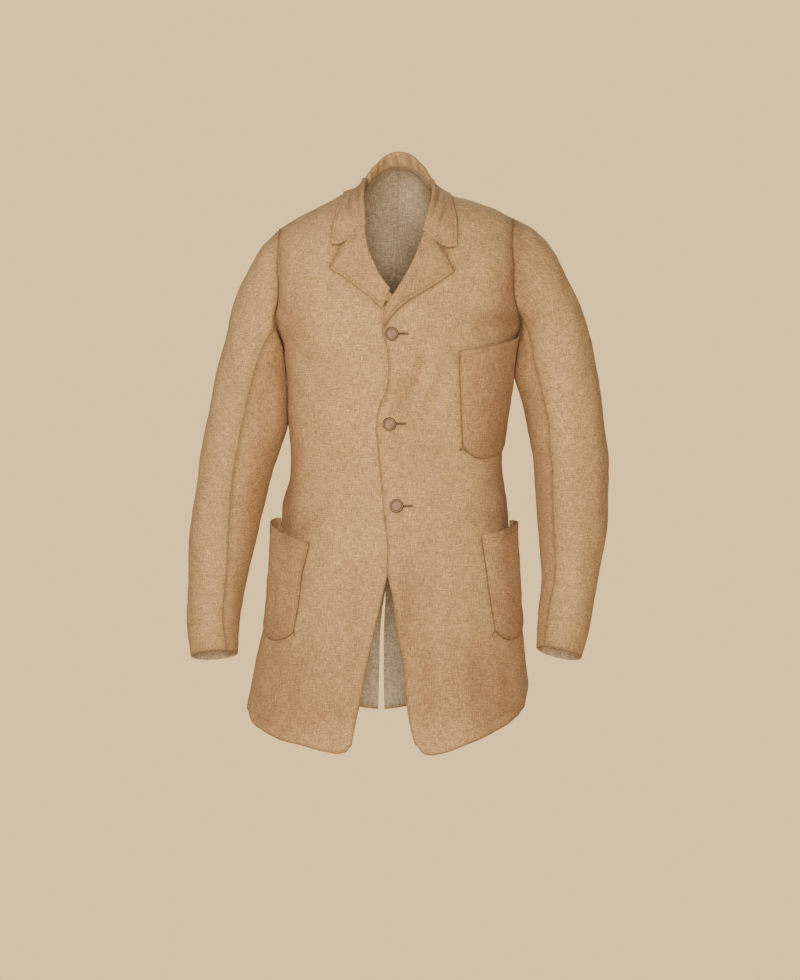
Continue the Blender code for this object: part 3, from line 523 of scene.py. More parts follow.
def front_lines(side, shares):
    """Angles and levels of a front, by rows up and columns from its edge to its side."""
    edge, hem = EDGES[side], HEMS[side]
    shares = np.array(shares, float)
    angles, levels = [], []
    for z in HEIGHTS:
        dip = max(0.0, (HEM_DIP_FROM - z) / (HEM_DIP_FROM - SIDE_HEM_Z)) ** 1.5
        edge_z = float(z)
        for _ in range(12):
            edge_x = read(edge, "z", "x", edge_z)
            edge_z = z + dip * (read(hem, "x", "z", side * edge_x) - SIDE_HEM_Z)
        start = angle_across(edge_x, edge_z)
        row = start + (seam_angle(side, z, SIDE_SEAM) - start) * shares
        width = half_width(side, z)
        x = width * np.abs(np.sin(np.radians(row))) ** (2 / ROUND_ACROSS)
        below = x * (1 + (half_width(side, SIDE_HEM_Z) / width - 1) * (x / width) ** 4)
        hem_z = np.where(np.abs(row) < 90, read(hem, "x", "z", below * side * np.sign(row)), SIDE_HEM_Z)
        hem_z[0] = read(hem, "x", "z", side * edge_x)
        angles.append(row)
        levels.append(z + dip * (hem_z - SIDE_HEM_Z) - CHEST_Z)
    for over in OVERS:
        edge_x = NECK_START * side
        for _ in range(40):
            edge_x = 0.5 * edge_x + 0.5 * read(edge, "z", "x", height_over(edge_x, over))
        start = angle_across(edge_x, CHEST_Z)
        end = seam_angle(side, height_over(ARM_TOP * side, over), SIDE_SEAM)
        angles.append(start + (end - start) * shares)
        levels.append(np.full(len(shares), float(over)))
    return np.array(angles), np.array(levels)


def back_lines(side, shares):
    """Angles and levels of a back, by rows up and columns from the centre to its side."""
    shares = np.array(shares, float)
    angles, levels = [], []
    rows = [(z, z, z - CHEST_Z) for z in HEIGHTS]
    rows += [(height_over(0.0, over), height_over(ARM_TOP * side, over), over) for over in OVERS]
    for centre_z, z, level in rows:
        gap = max(0.0, read(CENTRE_BACK, "z", "gap", centre_z))
        start_x = read(CENTRE_BACK, "z", "x", centre_z) + side * gap
        start = angle_across(start_x, z)
        row = start + (seam_angle(side, z, 180 - SIDE_SEAM) - start) * shares
        width = half_width(row, min(z, CHEST_Z))
        x = np.sign(row) * width * np.abs(np.sin(np.radians(row))) ** (2 / ROUND_ACROSS)
        drop = BACK_HEM_DROP * ease((-640 - z) / 95) * np.exp(-(((x - start_x) / 26) ** 2))
        angles.append(row)
        levels.append(level - drop)
    return np.array(angles), np.array(levels)


def distances(grid):
    """How far each point of a grid lies along the cloth from each of its four edges."""
    across = np.cumsum(np.linalg.norm(np.diff(grid, axis=1, prepend=grid[:, :1]), axis=-1), axis=1)
    down = np.cumsum(np.linalg.norm(np.diff(grid, axis=0, prepend=grid[:1]), axis=-1), axis=0)
    return {"first_column": across, "last_column": across[:, -1:] - across,
            "first_row": down, "last_row": down[-1:] - down}


def close_to(distance, width):
    """1 on the line itself, falling softly to 0 over the width."""
    return np.exp(-((distance / width) ** 2))


def grid_normal(grid, outside):
    """Directions out of a grid, on the side of outside, an array of vectors or one vector."""
    normal = unit(np.cross(np.gradient(grid, axis=0), np.gradient(grid, axis=1)))
    turned = np.sign((normal * outside).sum())
    return normal * (turned if turned else 1.0)


def link(tree, value, socket):
    """Joins a node's output to a socket, or sets the socket to a plain value."""
    if isinstance(value, bpy.types.NodeSocket):
        tree.links.new(value, socket)
    else:
        socket.default_value = value


def add_node(tree, kind, inputs=(), **settings):
    """A new node with its settings, and its inputs joined to outputs or set to plain values."""
    node = tree.nodes.new(kind)
    for name, value in settings.items():
        setattr(node, name, value)
    for socket, value in dict(inputs).items():
        link(tree, value, node.inputs[socket])
    return node


def maths(tree, operation, *values):
    return add_node(tree, "ShaderNodeMath", enumerate(values), operation=operation).outputs[0]


def remap(tree, value, low, high, to_low, to_high):
    """Stretches the range low to high of a value softly over to_low to to_high."""
    given = enumerate((value, low, high, to_low, to_high))
    return add_node(tree, "ShaderNodeMapRange", given, interpolation_type="SMOOTHSTEP").outputs[0]


def blend(tree, factor, first, second, kind="MIX"):
    node = add_node(tree, "ShaderNodeMix", {"Factor": factor}, data_type="RGBA", blend_type=kind)
    sockets = [socket for socket in node.inputs if socket.type == "RGBA"]
    for value, socket in zip((first, second), sockets):
        link(tree, value if isinstance(value, bpy.types.NodeSocket) else (*value, 1.0), socket)
    return [socket for socket in node.outputs if socket.type == "RGBA"][0]


def noise(tree, vector, scale, detail=2.0, roughness=0.5):
    given = {"Vector": vector, "Scale": scale, "Detail": detail, "Roughness": roughness}
    return add_node(tree, "ShaderNodeTexNoise", given).outputs["Fac"]


def stretched(tree, vector, across, along, down=1.0):
    """The vector scaled unevenly, so that a pattern on it is drawn out one way."""
    return add_node(tree, "ShaderNodeMapping", {"Vector": vector, "Scale": (across, along, down)}).outputs[0]


def bump(tree, height, distance, strength, normal=None):
    given = {"Strength": strength, "Distance": distance, "Height": height}
    if normal is not None:
        given["Normal"] = normal
    return add_node(tree, "ShaderNodeBump", given).outputs[0]


def marked(tree, name):
    """How strongly each point is marked with a named attribute, from 0 to 1."""
    return add_node(tree, "ShaderNodeAttribute", attribute_name=name).outputs["Fac"]


def new_finish(name):
    """A new material, its node tree and the place of each point in the coat."""
    made = bpy.data.materials.new(name)
    made.use_nodes = True
    return made, made.node_tree, add_node(made.node_tree, "ShaderNodeTexCoord").outputs["Object"]


def finished(made, inputs):
    """The material with its shader's inputs joined to outputs or set to plain values."""
    for name, value in inputs.items():
        link(made.node_tree, value, made.node_tree.nodes["Principled BSDF"].inputs[name])
    return made


def woven(name, colour, stain_and_painted_light, dark, inner, pitch=THREAD_PITCH, fuzz=1.0, sheen=0.1, rough=0.9):
    """A woven cloth: its colour, and those of its soft stains, its soil and painted shade, and the painted
    light on its inner side.
    """
    made, tree, where = new_finish(name)
    along = add_node(tree, "ShaderNodeUVMap", uv_map="threads").outputs[0]
    wander = noise(tree, stretched(tree, along, 60, 60), 1.0, 2.0)
    split = add_node(tree, "ShaderNodeSeparateXYZ", {0: along})
    waves = []
    for axis in (0, 1):
        moved = maths(tree, "MULTIPLY_ADD", wander, pitch * 1.2, split.outputs[axis])
        waves.append(maths(tree, "SINE", maths(tree, "MULTIPLY", moved, 2 * math.pi / pitch)))
    over_under = maths(tree, "MULTIPLY", *waves)
    warp = noise(tree, stretched(tree, along, 640, 80), 1.0, 3.0, 0.6)
    weft = noise(tree, stretched(tree, along, 74, 580), 1.0, 3.0, 0.6)
    slubs = maths(tree, "ADD", warp, weft)
    cloudy = noise(tree, where, 11.0, 4.0, 0.55)
    flecked = noise(tree, where, 400.0, 3.0, 0.7)
    mottled = noise(tree, where, 42.0, 3.0, 0.6)
    patchy = noise(tree, stretched(tree, where, 5.5, 5.5, 4.0), 1.0, 3.0, 0.6)
    patches = maths(tree, "MULTIPLY", marked(tree, "rosy"), remap(tree, patchy, 0.3, 0.7, 0.5, 1.25))
    patches = maths(tree, "ADD", patches, remap(tree, patchy, 0.5, 0.74, 0.0, 0.4))
    tone = blend(tree, maths(tree, "MINIMUM", patches, 1.0), colour, stain_and_painted_light)
    lighter = [min(1.0, part * 1.14) for part in colour]
    tone = blend(tree, remap(tree, cloudy, 0.35, 0.7, 0.0, 0.4), tone, lighter)
    # Painted contact shadow beside and under laid-on pieces, darkest at their edges, joined to the soil and
    # painted shade.
    contact_shadow = marked(tree, "contact_shadow")
    edge = remap(tree, contact_shadow, 0.72, 0.97, 0.0, 0.95)
    edge = maths(tree, "MAXIMUM", edge, remap(tree, contact_shadow, 0.25, 1.0, 0.0, 0.30))
    # Soil and painted shade, with the painted contact shadow, darken the cloth towards the dark colour.
    soiled_and_shaded = maths(tree, "MAXIMUM", marked(tree, "soil"), edge)
    ragged = maths(tree, "MULTIPLY", soiled_and_shaded, remap(tree, flecked, 0.2, 0.8, 0.75, 1.15))
    tone = blend(tree, maths(tree, "MINIMUM", ragged, 1.0), tone, dark)
    # Painted light: the inner side is paler where it is marked, inside the cuffs.
    tone = blend(tree, marked(tree, "inside"), tone, inner)
    grey = remap(tree, slubs, 0.72, 1.28, 0.70, 1.25)
    for pattern, *limits in ((flecked, 0.28, 0.72, 0.72, 1.20), (mottled, 0.3, 0.7, 0.94, 1.05),
                             (over_under, -1.0, 1.0, 0.92, 1.05)):
        grey = maths(tree, "MULTIPLY", grey, remap(tree, pattern, *limits))
    combined = add_node(tree, "ShaderNodeCombineColor", dict.fromkeys(range(3), grey))
    creased = bump(tree, noise(tree, where, 38.0, 4.0, 0.6), 0.0014, 0.5)
    yarns = bump(tree, slubs, 0.0005, 0.6, creased)
    hairs = bump(tree, flecked, 0.0004 * fuzz, 0.5, yarns)
    return finished(made, {
        "Base Color": blend(tree, 1.0, tone, combined.outputs[0], "MULTIPLY"),
        "Normal": bump(tree, over_under, 0.00012, 0.7, hairs),
        "Roughness": remap(tree, slubs, 0.7, 1.3, rough + 0.05, rough - 0.07),
        "Sheen Weight": sheen,
        "Sheen Roughness": 0.5,
        "Sheen Tint": (1.0, 0.8, 0.55, 1.0),
        "Specular IOR Level": 0.25,
    })


# Each cloth's colours: its own; its stains, or for the lining the paler grey of painted light low down; its
# soil and painted shade; its inner side's painted light.
CLOTHS = {
    "coat_cloth": woven("coat_cloth", (0.53, 0.305, 0.118), (0.47, 0.225, 0.095), (0.20, 0.100, 0.040),
                        (0.62, 0.45, 0.27)),
    "lining_cloth": woven("lining_cloth", (0.50, 0.355, 0.195), (0.53, 0.425, 0.295), (0.2, 0.13, 0.07),
                          (0.62, 0.47, 0.30), pitch=0.0007, fuzz=0.4, sheen=0.05, rough=0.8),
    "button_cloth": woven("button_cloth", (0.36, 0.215, 0.11), (0.27, 0.15, 0.07), (0.06, 0.03, 0.012),
                          (0.36, 0.215, 0.11), pitch=0.0008, fuzz=0.6, sheen=0.08, rough=0.75),
}


def mark_points(mesh, name, amount):
    """Marks the points of a mesh with an amount from 0 to 1, for the finish to read."""
    mark = mesh.attributes.new(name, "FLOAT", "POINT")
    mark.data.foreach_set("value", np.clip(amount, 0, 1).astype(np.float32))


def map_threads(mesh, places):
    """Lays the thread map: where each point of a mesh lies across and along the weave, in millimetres."""
    used = np.empty(len(mesh.loops), np.int32)
    mesh.loops.foreach_get("vertex_index", used)
    layer = mesh.uv_layers.new(name="threads")
    layer.data.foreach_set("uv", (places[used] * MM).ravel().astype(np.float32))


def smooth_mesh(name, points, faces, material):
    mesh = bpy.data.meshes.new(name)
    mesh.from_pydata(points.tolist(), [], faces)
    mesh.polygons.foreach_set("use_smooth", np.ones(len(faces), bool))
    mesh.materials.append(material)
    return mesh


def in_scene(name, data):
    obj = bpy.data.objects.new(name, data)
    bpy.context.scene.collection.objects.link(obj)
    return obj


def shell(name, grid, normal, thick, cloth, soil, rosy, threads, painted_inner_light):
    """A closed thin shell under a grid of outer points, its edge rounded, with its stains and painted shade
    and its thread map.

    The last argument is how far painted light pales its inner side at each point.
    """
    rows, columns = grid.shape[:2]
    thick = np.broadcast_to(thick, (rows, columns))
    inner = grid - normal * thick[..., None]
    half = rows * columns
    points = [grid.reshape(-1, 3), inner.reshape(-1, 3)]
    index = np.arange(half).reshape(rows, columns)
    quads = np.stack([index[:-1, :-1], index[:-1, 1:], index[1:, 1:], index[1:, :-1]], -1).reshape(-1, 4)
    faces = [quads, half + quads[:, ::-1]]
    loop = np.concatenate([index[0, :-1], index[:-1, -1], index[-1, :0:-1], index[:0:-1, 0]])
    inside = np.clip(np.arange(rows), 1, rows - 2)[:, None], np.clip(np.arange(columns), 1, columns - 2)[None]
    flat, flat_normal = grid.reshape(-1, 3), normal.reshape(-1, 3)
    away = (grid - grid[inside]).reshape(-1, 3)[loop]
    away = unit(away - flat_normal[loop] * (away * flat_normal[loop]).sum(-1, keepdims=True))
    t = thick.reshape(-1)[loop, None]
    middle = flat[loop] - flat_normal[loop] * t / 2
    rim = [loop]
    for k in (1, 2, 3):
        turn = math.pi * k / 4
        points.append(middle + flat_normal[loop] * t / 2 * math.cos(turn) + away * t / 2 * math.sin(turn))
        rim.append(2 * half + (k - 1) * len(loop) + np.arange(len(loop)))
    rim.append(half + loop)
    for near, far in zip(rim, rim[1:]):
        faces.append(np.stack([near, far, np.roll(far, -1), np.roll(near, -1)], -1))
    points = np.concatenate(points) * MM
    faces = np.concatenate(faces)
    corner = np.cross(points[quads[:, 1]] - points[quads[:, 0]], points[quads[:, 2]] - points[quads[:, 0]])
    if (corner * flat_normal[quads[:, 0]]).sum() < 0:
        faces = faces[:, ::-1]
    mesh = smooth_mesh(name, points, faces.tolist(), CLOTHS[cloth])
    source = np.concatenate([np.arange(half), np.arange(half), np.tile(loop, 3)])
    map_threads(mesh, threads.reshape(-1, 2)[source])
    mark_points(mesh, "soil", soil.reshape(-1)[source])
    mark_points(mesh, "rosy", rosy.reshape(-1)[source])
    inner_light = np.broadcast_to(painted_inner_light, (rows, columns)).reshape(-1)
    rim_inner_light = np.outer((0.0, 0.3, 0.8), inner_light[loop]).reshape(-1)
    mark_points(mesh, "inside", np.concatenate([np.zeros(half), inner_light, rim_inner_light]))
    return in_scene(name, mesh)


def sewn(node, grid, outside, thick, soil, threads, handled=(0.0, 0.0), painted_inner_light=0.0,
         cloth="coat_cloth"):
    """A piece of cloth in the place of a CAD node, whose CAD part it hides.

    outside points out of the cloth, and handled is how soiled and how rosy the whole piece is.
    """
    normal = grid_normal(grid, outside)
    ahead = ease((0.25 - normal[..., 1]) / 0.5)
    if cloth == "coat_cloth":
        darkening, rosy = (part + all_over for part, all_over in zip(stains_and_shade(grid, ahead), handled))
    else:
        # The lining has no stains; it turns paler and greyer towards the hem, painted light.
        darkening, rosy = np.zeros(ahead.shape), ease((-500 - grid[..., 2]) / 100)
    obj = shell(f"{node}_cloth", grid, normal, thick, cloth, soil + darkening * (1 - soil), rosy, threads, painted_inner_light)
    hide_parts(node)
    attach(obj, "root")
    return obj


# The two fronts: each cut in one piece from shoulder to hem, curved away at the bottom, the left lapped
# over the right. The front edge and hem are turned in and felled; side, shoulder and armhole are seams.
FRONT_COLUMNS = spread(262, 3.2)
SEAM_WIDTH = 1.7
SEAM_SUNK = 0.85
HEM_TURNED = 17.0
EDGE_TURNED = 9.0
EDGE_STITCH_IN = 5.2
HEM_STITCH_IN = 17.5


def panel_threads(grid, far, side):
    """The thread map of a front or a back, square to its first column and its first row."""
    across = grid[..., 0][:, :1] + side * far["first_column"]
    return np.stack([across, grid[..., 2][:1] + far["first_row"]], -1)


def front_panel(side):
    angles, levels = front_lines(side, FRONT_COLUMNS)
    grid, normal = surface(angles, levels, FRONT, 0.0, side == LEFT)
    far = distances(grid)
    seam = np.maximum(close_to(far["last_column"], SEAM_WIDTH), close_to(far["last_row"], SEAM_WIDTH))
    turned = 0.6 * ease((EDGE_TURNED - far["first_column"]) / 2.5)
    turned = np.maximum(ease((HEM_TURNED - far["first_row"]) / 2.5), turned)
    under_break = ease(((-133 if side == RIGHT else -183) - grid[..., 2]) / 14)
    bead = close_to(np.maximum(far["first_column"] - 1.6, 0), 1.7) * under_break
    pressed = close_to(far["first_column"] - EDGE_STITCH_IN, 1.2) * under_break
    grid = grid + normal * (0.45 * turned + 0.7 * bead - 0.4 * pressed - SEAM_SUNK * seam)[..., None]
    thick = CLOTH + 0.5 * turned + 0.7 * bead
    hem_line = close_to(far["first_row"] - HEM_STITCH_IN, 1.3) * 0.35
    edge_line = np.maximum(close_to(far["first_row"], 2.6), close_to(far["first_column"], 2.2)) * 0.65
    # Painted shade spreading in from the side seam, armhole and shoulder seam; seams, hem and edges darken
    # with soil and painted shade.
    wide = 0.3 * np.maximum(close_to(far["last_column"], 15), close_to(far["last_row"], 9))
    soil = np.maximum.reduce([0.8 * seam, hem_line, edge_line, wide])
    threads = panel_threads(grid, far, side)
    obj = sewn(f"front_{SIDES[side]}", grid, normal, thick, soil, threads)
    return grid, normal, obj


front_panels = {side: front_panel(side) for side in SIDES}
front_faces = {side: panel[:2] for side, panel in front_panels.items()}


# The two backs, seamed down the middle to a vent, and the grey lining that hangs inside them.
# The lining is a smoother, thinner cloth, felled a little inside the edges, seen in the neck and the vent.
BACK_COLUMNS = spread(268, 3.4)
LINING = 1.0
LINING_GAP = 0.4
VENT_TOP = -575


def back_panel(side):
    angles, levels = back_lines(side, BACK_COLUMNS)
    grid, normal = surface(angles, levels, BACK)
    far = distances(grid)
    above_vent = ease((grid[..., 2] - VENT_TOP) / 20)
    seam = np.maximum.reduce([close_to(far["last_column"], SEAM_WIDTH), close_to(far["last_row"], SEAM_WIDTH),
                              close_to(far["first_column"], SEAM_WIDTH) * above_vent])
    turned = ease((EDGE_TURNED - far["first_column"]) / 2.5) * (1 - above_vent)
    turned = np.maximum(ease((HEM_TURNED - far["first_row"]) / 2.5), turned)
    outer = grid + normal * (0.45 * turned - SEAM_SUNK * seam)[..., None]
    hem_line = close_to(far["first_row"] - HEM_STITCH_IN, 1.3) * 0.35
    # Soil and painted shade along the seams and hem, and painted shade spreading in from the side seam and
    # armhole.
    soil = np.maximum.reduce([0.8 * seam, hem_line, 0.45 * close_to(far["first_row"], 2.5),
                              0.28 * close_to(far["last_column"], 13)])
    threads = panel_threads(grid, far, side)
    sewn(f"back_{SIDES[side]}", outer, normal, CLOTH, soil, threads)
    inside = grid - normal * (CLOTH + LINING_GAP + 0.25)
    inside, way, threads, above = [each[3:-3, :-3] for each in (inside, normal, threads, above_vent)]
    far = distances(inside)
    middle = close_to(far["first_column"], 1.4) * above
    pleats = 0.5 * ripple(inside * np.array([1.0, 1.0, 0.12]), 46, 21 + side) * ease(far["first_column"] / 12)
    pleats = pleats * ease(far["last_column"] / 14) * ease((18 + inside[..., 2]) / -40)
    inside = inside - way * (0.35 * middle + pleats + 0.9 * close_to(far["last_column"], 5))[..., None]
    soil = np.maximum(0.2 * middle, 0.5 * close_to(far["first_row"], 3.0))
    sewn(f"lining_back_{SIDES[side]}", inside, way, LINING, soil, threads,
         cloth="lining_cloth")
    return grid, normal


back_faces = {side: back_panel(side) for side in SIDES}


# The sleeves: a top and an under piece each, set into the armhole with a little fullness over the head and
# seamed down the front and the hind arm, with a turned cuff. Their creases lie as seen from the front.

# Each sleeve from the armhole to the cuff, as rings seen from the front: outer and inner point,
# how far forward the middle lies, half depth, how far the ring tips forward, and the seam's angle.
RIGHT_SLEEVE = table("station outer_x outer_z inner_x inner_z middle_y depth tilt seam", [
    (0, -170, -43, -168, -205, 6, 58, 0, 124),
    (1, -196, -69, -165, -214, 4, 62, 0, 116),
    (2, -221, -108, -162, -224, 2, 66, 0, 107),
    (3, -237, -146, -161, -238, 2, 67, 0, 101),
    (4, -248, -196, -161, -258, 2, 67, 0, 95),
    (5, -262.5, -250, -158, -288, 4, 66, 0, 88),
    (6, -277.5, -322, -160, -330, 7, 64, 0, 83.5),
    (7, -291, -405, -185, -405, 8, 61, 2, 89),
    (8, -302, -485, -203, -485, 3, 57, 5, 99),
    (9, -305, -565, -220.5, -562, -9, 53, 8, 110),
    (10, -304.5, -620, -229, -617, -19, 49, 9, 113),
    (11, -300, -660, -233, -656, -27, 46, 10, 127),
])
LEFT_SLEEVE = table("station outer_x outer_z inner_x inner_z middle_y depth tilt seam", [
    (0, 168, -28, 172, -208, 6, 58, 0, 127),
    (1, 198, -44, 171, -214, 4, 62, 0, 123),
    (2, 228, -78, 170, -220, 2, 66, 0, 119),
    (3, 253, -127, 168, -230, 2, 67, 0, 118),
    (4, 275, -183, 167, -245, 2, 67, 0, 117),
    (5, 290, -250, 170, -264, 4, 66, 0, 116),
    (6, 299, -318, 186, -318, 7, 63, 0, 118),
    (7, 306, -390, 196, -390, 8, 60, 2, 122),
    (8, 305, -465, 202, -465, 3, 57, 5, 125),
    (9, 292, -545, 207, -548, -9, 53, 8, 123),
    (10, 280, -608, 203, -600, -19, 49, 9, 130),
    (11, 266, -663, 200, -648, -28, 46, 10, 134),
])

SLEEVE_FRONT_CREASES = table("x0 z0 x1 z1 bow width depth", [
    (-176, -150, -214, -196, 6, 8, -1.2),
    (-182, -176, -206, -238, 5, 8, 1.2),
    (-172, -214, -196, -300, 5, 9, -1.2),
    (-232, -120, -228, -290, -7, 11, 1.0),
    (-250, -200, -246, -372, 6, 10, -1.0),
    (-196, -296, -232, -346, 5, 9, -1.4),
    (-192, -330, -246, -366, 4, 8, 1.3),
    (-196, -372, -262, -392, 5, 9, -1.2),
    (-206, -420, -268, -404, 4, 8, 0.9),
    (-282, -360, -288, -500, 4, 10, 0.9),
    (-246, -440, -262, -600, -5, 10, -1.0),
    (-276, -470, -284, -620, 5, 10, 1.0),
    (180, -170, 204, -224, -6, 8, -1.2),
    (186, -190, 222, -262, -5, 8, 1.2),
    (182, -250, 206, -330, -5, 9, -1.1),
    (238, -120, 262, -280, 7, 11, 1.0),
    (262, -210, 276, -372, -6, 10, -1.0),
    (206, -310, 244, -350, -5, 9, -1.3),
    (208, -346, 262, -374, -4, 8, 1.3),
    (210, -384, 270, -396, -5, 9, -1.1),
    (216, -430, 274, -410, -4, 8, 0.9),
    (292, -352, 290, -500, -4, 10, 0.9),
    (240, -440, 240, -600, 5, 10, -1.0),
    (270, -470, 258, -620, -5, 10, 1.0),
])
SLEEVE_BACK_CREASES = table("x0 z0 x1 z1 bow width depth", [
    (-178, -160, -216, -230, 6, 9, -1.2),
    (-186, -200, -226, -290, 5, 9, 1.1),
    (-240, -130, -254, -300, -6, 11, 0.9),
    (-222, -300, -284, -352, 5, 9, -1.5),
    (-220, -340, -290, -388, -4, 9, 1.4),
    (-228, -388, -292, -416, 5, 9, -1.3),
    (-240, -450, -262, -610, -5, 10, -0.9),
    (-270, -480, -280, -630, 5, 10, 0.9),
    (180, -160, 214, -236, -6, 9, -1.2),
    (188, -200, 232, -290, -5, 9, 1.1),
    (248, -130, 270, -300, 6, 11, 0.9),
    (226, -300, 288, -348, -5, 9, -1.5),
    (226, -340, 294, -384, 4, 9, 1.4),
    (230, -386, 294, -412, -5, 9, -1.3),
    (244, -450, 250, -610, 5, 10, -0.9),
    (272, -480, 262, -630, -5, 10, 0.9),
])
SLEEVES = {RIGHT: RIGHT_SLEEVE, LEFT: LEFT_SLEEVE}
RING_SHARES = spread(700, 5.0)
SLEEVE_RADIUS = 56
CUFF_TURNED = 42


def armhole_loop(side):
    """Armhole points from the front seam of the sleeve over the shoulder and under the arm, back to it."""
    ends = np.array([0.0, 1.0])
    front = surface(*front_lines(side, ends), FRONT, 0.0, side == LEFT)[0][UNDERARM_ROW:, -1]
    back = surface(*back_lines(side, ends), BACK)[0][UNDERARM_ROW:, -1]
    front_seam = FRONT_SEAM_ROW - UNDERARM_ROW
    hind_seam = HIND_SEAM_ROW - UNDERARM_ROW
    top = np.concatenate([front[front_seam:], back[::-1][1:len(back) - hind_seam]])
    under = np.concatenate([back[: hind_seam + 1][::-1], front[1 : front_seam + 1]])
    return top, under


def body_reach(y, z, side):
    """How far out the body's side lies at y and z."""
    width = read(BODY, "z", SIDES[side], z)
    depth = np.where(y < 0, read(BODY, "z", "front", z), read(BODY, "z", "back", z))
    return width * (1 - np.clip(np.abs(y) / depth, 0, 1) ** ROUND_ACROSS) ** (1 / ROUND_ACROSS)


def ring_frame(rows, station):
    """A sleeve ring's middle, its outward half width and its forward half depth."""
    at = {name: read(rows, "station", name, station) for name in rows}
    outer, inner = [np.array([at[f"{end}_x"], 0, at[f"{end}_z"]]) for end in ("outer", "inner")]
    middle = (outer + inner) / 2 + np.array([0, at["middle_y"], 0])
    tip = math.radians(at["tilt"])
    depth = at["depth"] * np.array([0, -math.cos(tip), math.sin(tip)])
    return middle, (outer - inner) / 2, depth


def ring_points(ring, turn):
    middle, reach, depth = ring
    turn = np.radians(turn)[:, None]
    return middle + np.cos(turn) * reach + np.sin(turn) * depth


def sleeve_grids(side):
    """Grids of a sleeve's top and under piece, from the armhole down to the cuff.

    With them come the middles of their rings and each point's angle round its ring.
    """
    rows = SLEEVES[side]
    loops = armhole_loop(side)
    first = ring_frame(rows, 0)
    starts = []
    for loop in loops:
        away = loop - first[0]
        turn = np.arctan2(away @ first[2] / (first[2] @ first[2]), away @ first[1] / (first[1] @ first[1]))
        starts.append(np.degrees(np.unwrap(turn)))
    starts[1] += 360 * round((starts[0][-1] - starts[1][0]) / 360)
    grids, turns = ([loops[0]], [loops[1]]), ([starts[0]], [starts[1]])
    middles = [first[0]]
    last = rows["station"][-1]
    for share in RING_SHARES[1:]:
        station = last * share**1.15
        ring = ring_frame(rows, station)
        front = read(rows, "station", "seam", station)
        hind = starts[0][-1] + (-85 - starts[0][-1]) * ease(station / 8)
        middles.append(ring[0])
        for k, (begin, end) in enumerate(((front, hind), (hind, front - 360))):
            even = begin + (end - begin) * np.linspace(0, 1, len(loops[k]))
            turn = starts[k] + (even - starts[k]) * ease(station / 4)
            stay = 1 - ease(station / 2.5)
            points = ring_points(ring, turn) + (loops[k] - ring_points(first, starts[k])) * stay
            z = points[:, 2]
            pocket = 4.6 if side == LEFT else 0.0
            clear = pocket * ease((-170 - z) / 20) * ease((z + 380) / 30) * ease((-2 - points[:, 1]) / 16)
            reach = body_reach(points[:, 1], np.minimum(z, CHEST_Z), side)
            reach = reach + uneven(np.stack([side * reach, points[:, 1], z], -1))
            limit = reach + (0.4 + clear) * ease(0.45 + station)
            near = side * points[:, 0] < limit
            points[:, 0] = np.where(near & (z < -165), side * limit, points[:, 0])
            grids[k].append(points)
            turns[k].append(turn)
    return np.array(grids[0]), np.array(grids[1]), np.array(middles), [np.array(turn) for turn in turns]


def sleeve(side):
    top, under, middles, turns = sleeve_grids(side)
    axis = unit(np.gradient(middles, axis=0))
    fallen = run_along(middles)
    whole = np.concatenate([top, under[:, 1:-1]], axis=1)
    closed = np.concatenate([whole[:, -1:], whole, whole[:, :1]], axis=1)
    normal = unit(np.cross(np.gradient(closed, axis=0), np.gradient(closed, axis=1)))[:, 1:-1]
    outward = whole - middles[:, None]
    normal *= np.sign((normal * outward).sum())
    normal[0] = unit(outward[0] * np.array([0.0, 1.0, 1.0]))
    ahead = ease((0.25 - normal[..., 1]) / 0.5)
    lift = CREASE_GAIN * creases(SLEEVE_FRONT_CREASES, whole[..., 0], whole[..., 2]) * ahead
    lift = lift + CREASE_GAIN * creases(SLEEVE_BACK_CREASES, whole[..., 0], whole[..., 2]) * (1 - ahead)
    down = distances(whole)["first_row"]
    clear = side * whole[..., 0] - body_reach(whole[..., 1], np.minimum(whole[..., 2], CHEST_Z), side)
    free = ease(down / 25) * ease((clear - 1) / 8)
    head = 0.35 * np.sin(np.arange(whole.shape[1]) * 2 * np.pi / 5.5) * close_to(down - 6, 6)
    whole = whole + normal * ((lift + uneven(whole)) * free + head * (whole[..., 2] > -60))[..., None]
    count = top.shape[1]
    under = np.concatenate([whole[:, count - 1 :], whole[:, :1]], axis=1)
    under_normal = np.concatenate([normal[:, count - 1 :], normal[:, :1]], axis=1)
    for piece, grid, out, turn in (("top", whole[:, :count], normal[:, :count], turns[0]),
                                   ("under", under, under_normal, turns[1])):
        far = distances(grid)
        seam = np.maximum(close_to(far["first_column"], SEAM_WIDTH), close_to(far["last_column"], SEAM_WIDTH))
        head_seam = close_to(far["first_row"], SEAM_WIDTH)
        turned = ease((CUFF_TURNED - far["last_row"]) / 3)
        grid = grid + out * (0.4 * turned - SEAM_SUNK * seam - 0.5 * head_seam)[..., None]
        wide = np.maximum(close_to(far["first_column"], 11), close_to(far["last_column"], 11))
        cuff_line = close_to(far["last_row"] - CUFF_TURNED, 1.4)
        # Soil and painted shade on seams, cuff and edges, and painted shade spreading in from the seams and
        # down from the armhole.
        soil = np.maximum.reduce([0.8 * np.maximum(seam, head_seam), cuff_line * 0.4, 0.25 * wide,
                                  0.4 * close_to(far["last_row"], 2.5), 0.3 * close_to(far["first_row"], 12)])
        down_axis = fallen[:, None] + ((grid - middles[:, None]) * axis[:, None]).sum(axis=-1)
        threads = np.stack([np.radians(turn) * SLEEVE_RADIUS, -down_axis], -1)
        # The inner side near the cuff is paled by painted light, seen inside the cuff opening.
        sewn(f"sleeve_{piece}_{SIDES[side]}", grid, out, CLOTH + 0.4 * turned, soil, threads,
             painted_inner_light=0.75 * ease((140 - far["last_row"]) / 60))
    return whole, normal


sleeve_faces = {side: sleeve(side) for side in SIDES}


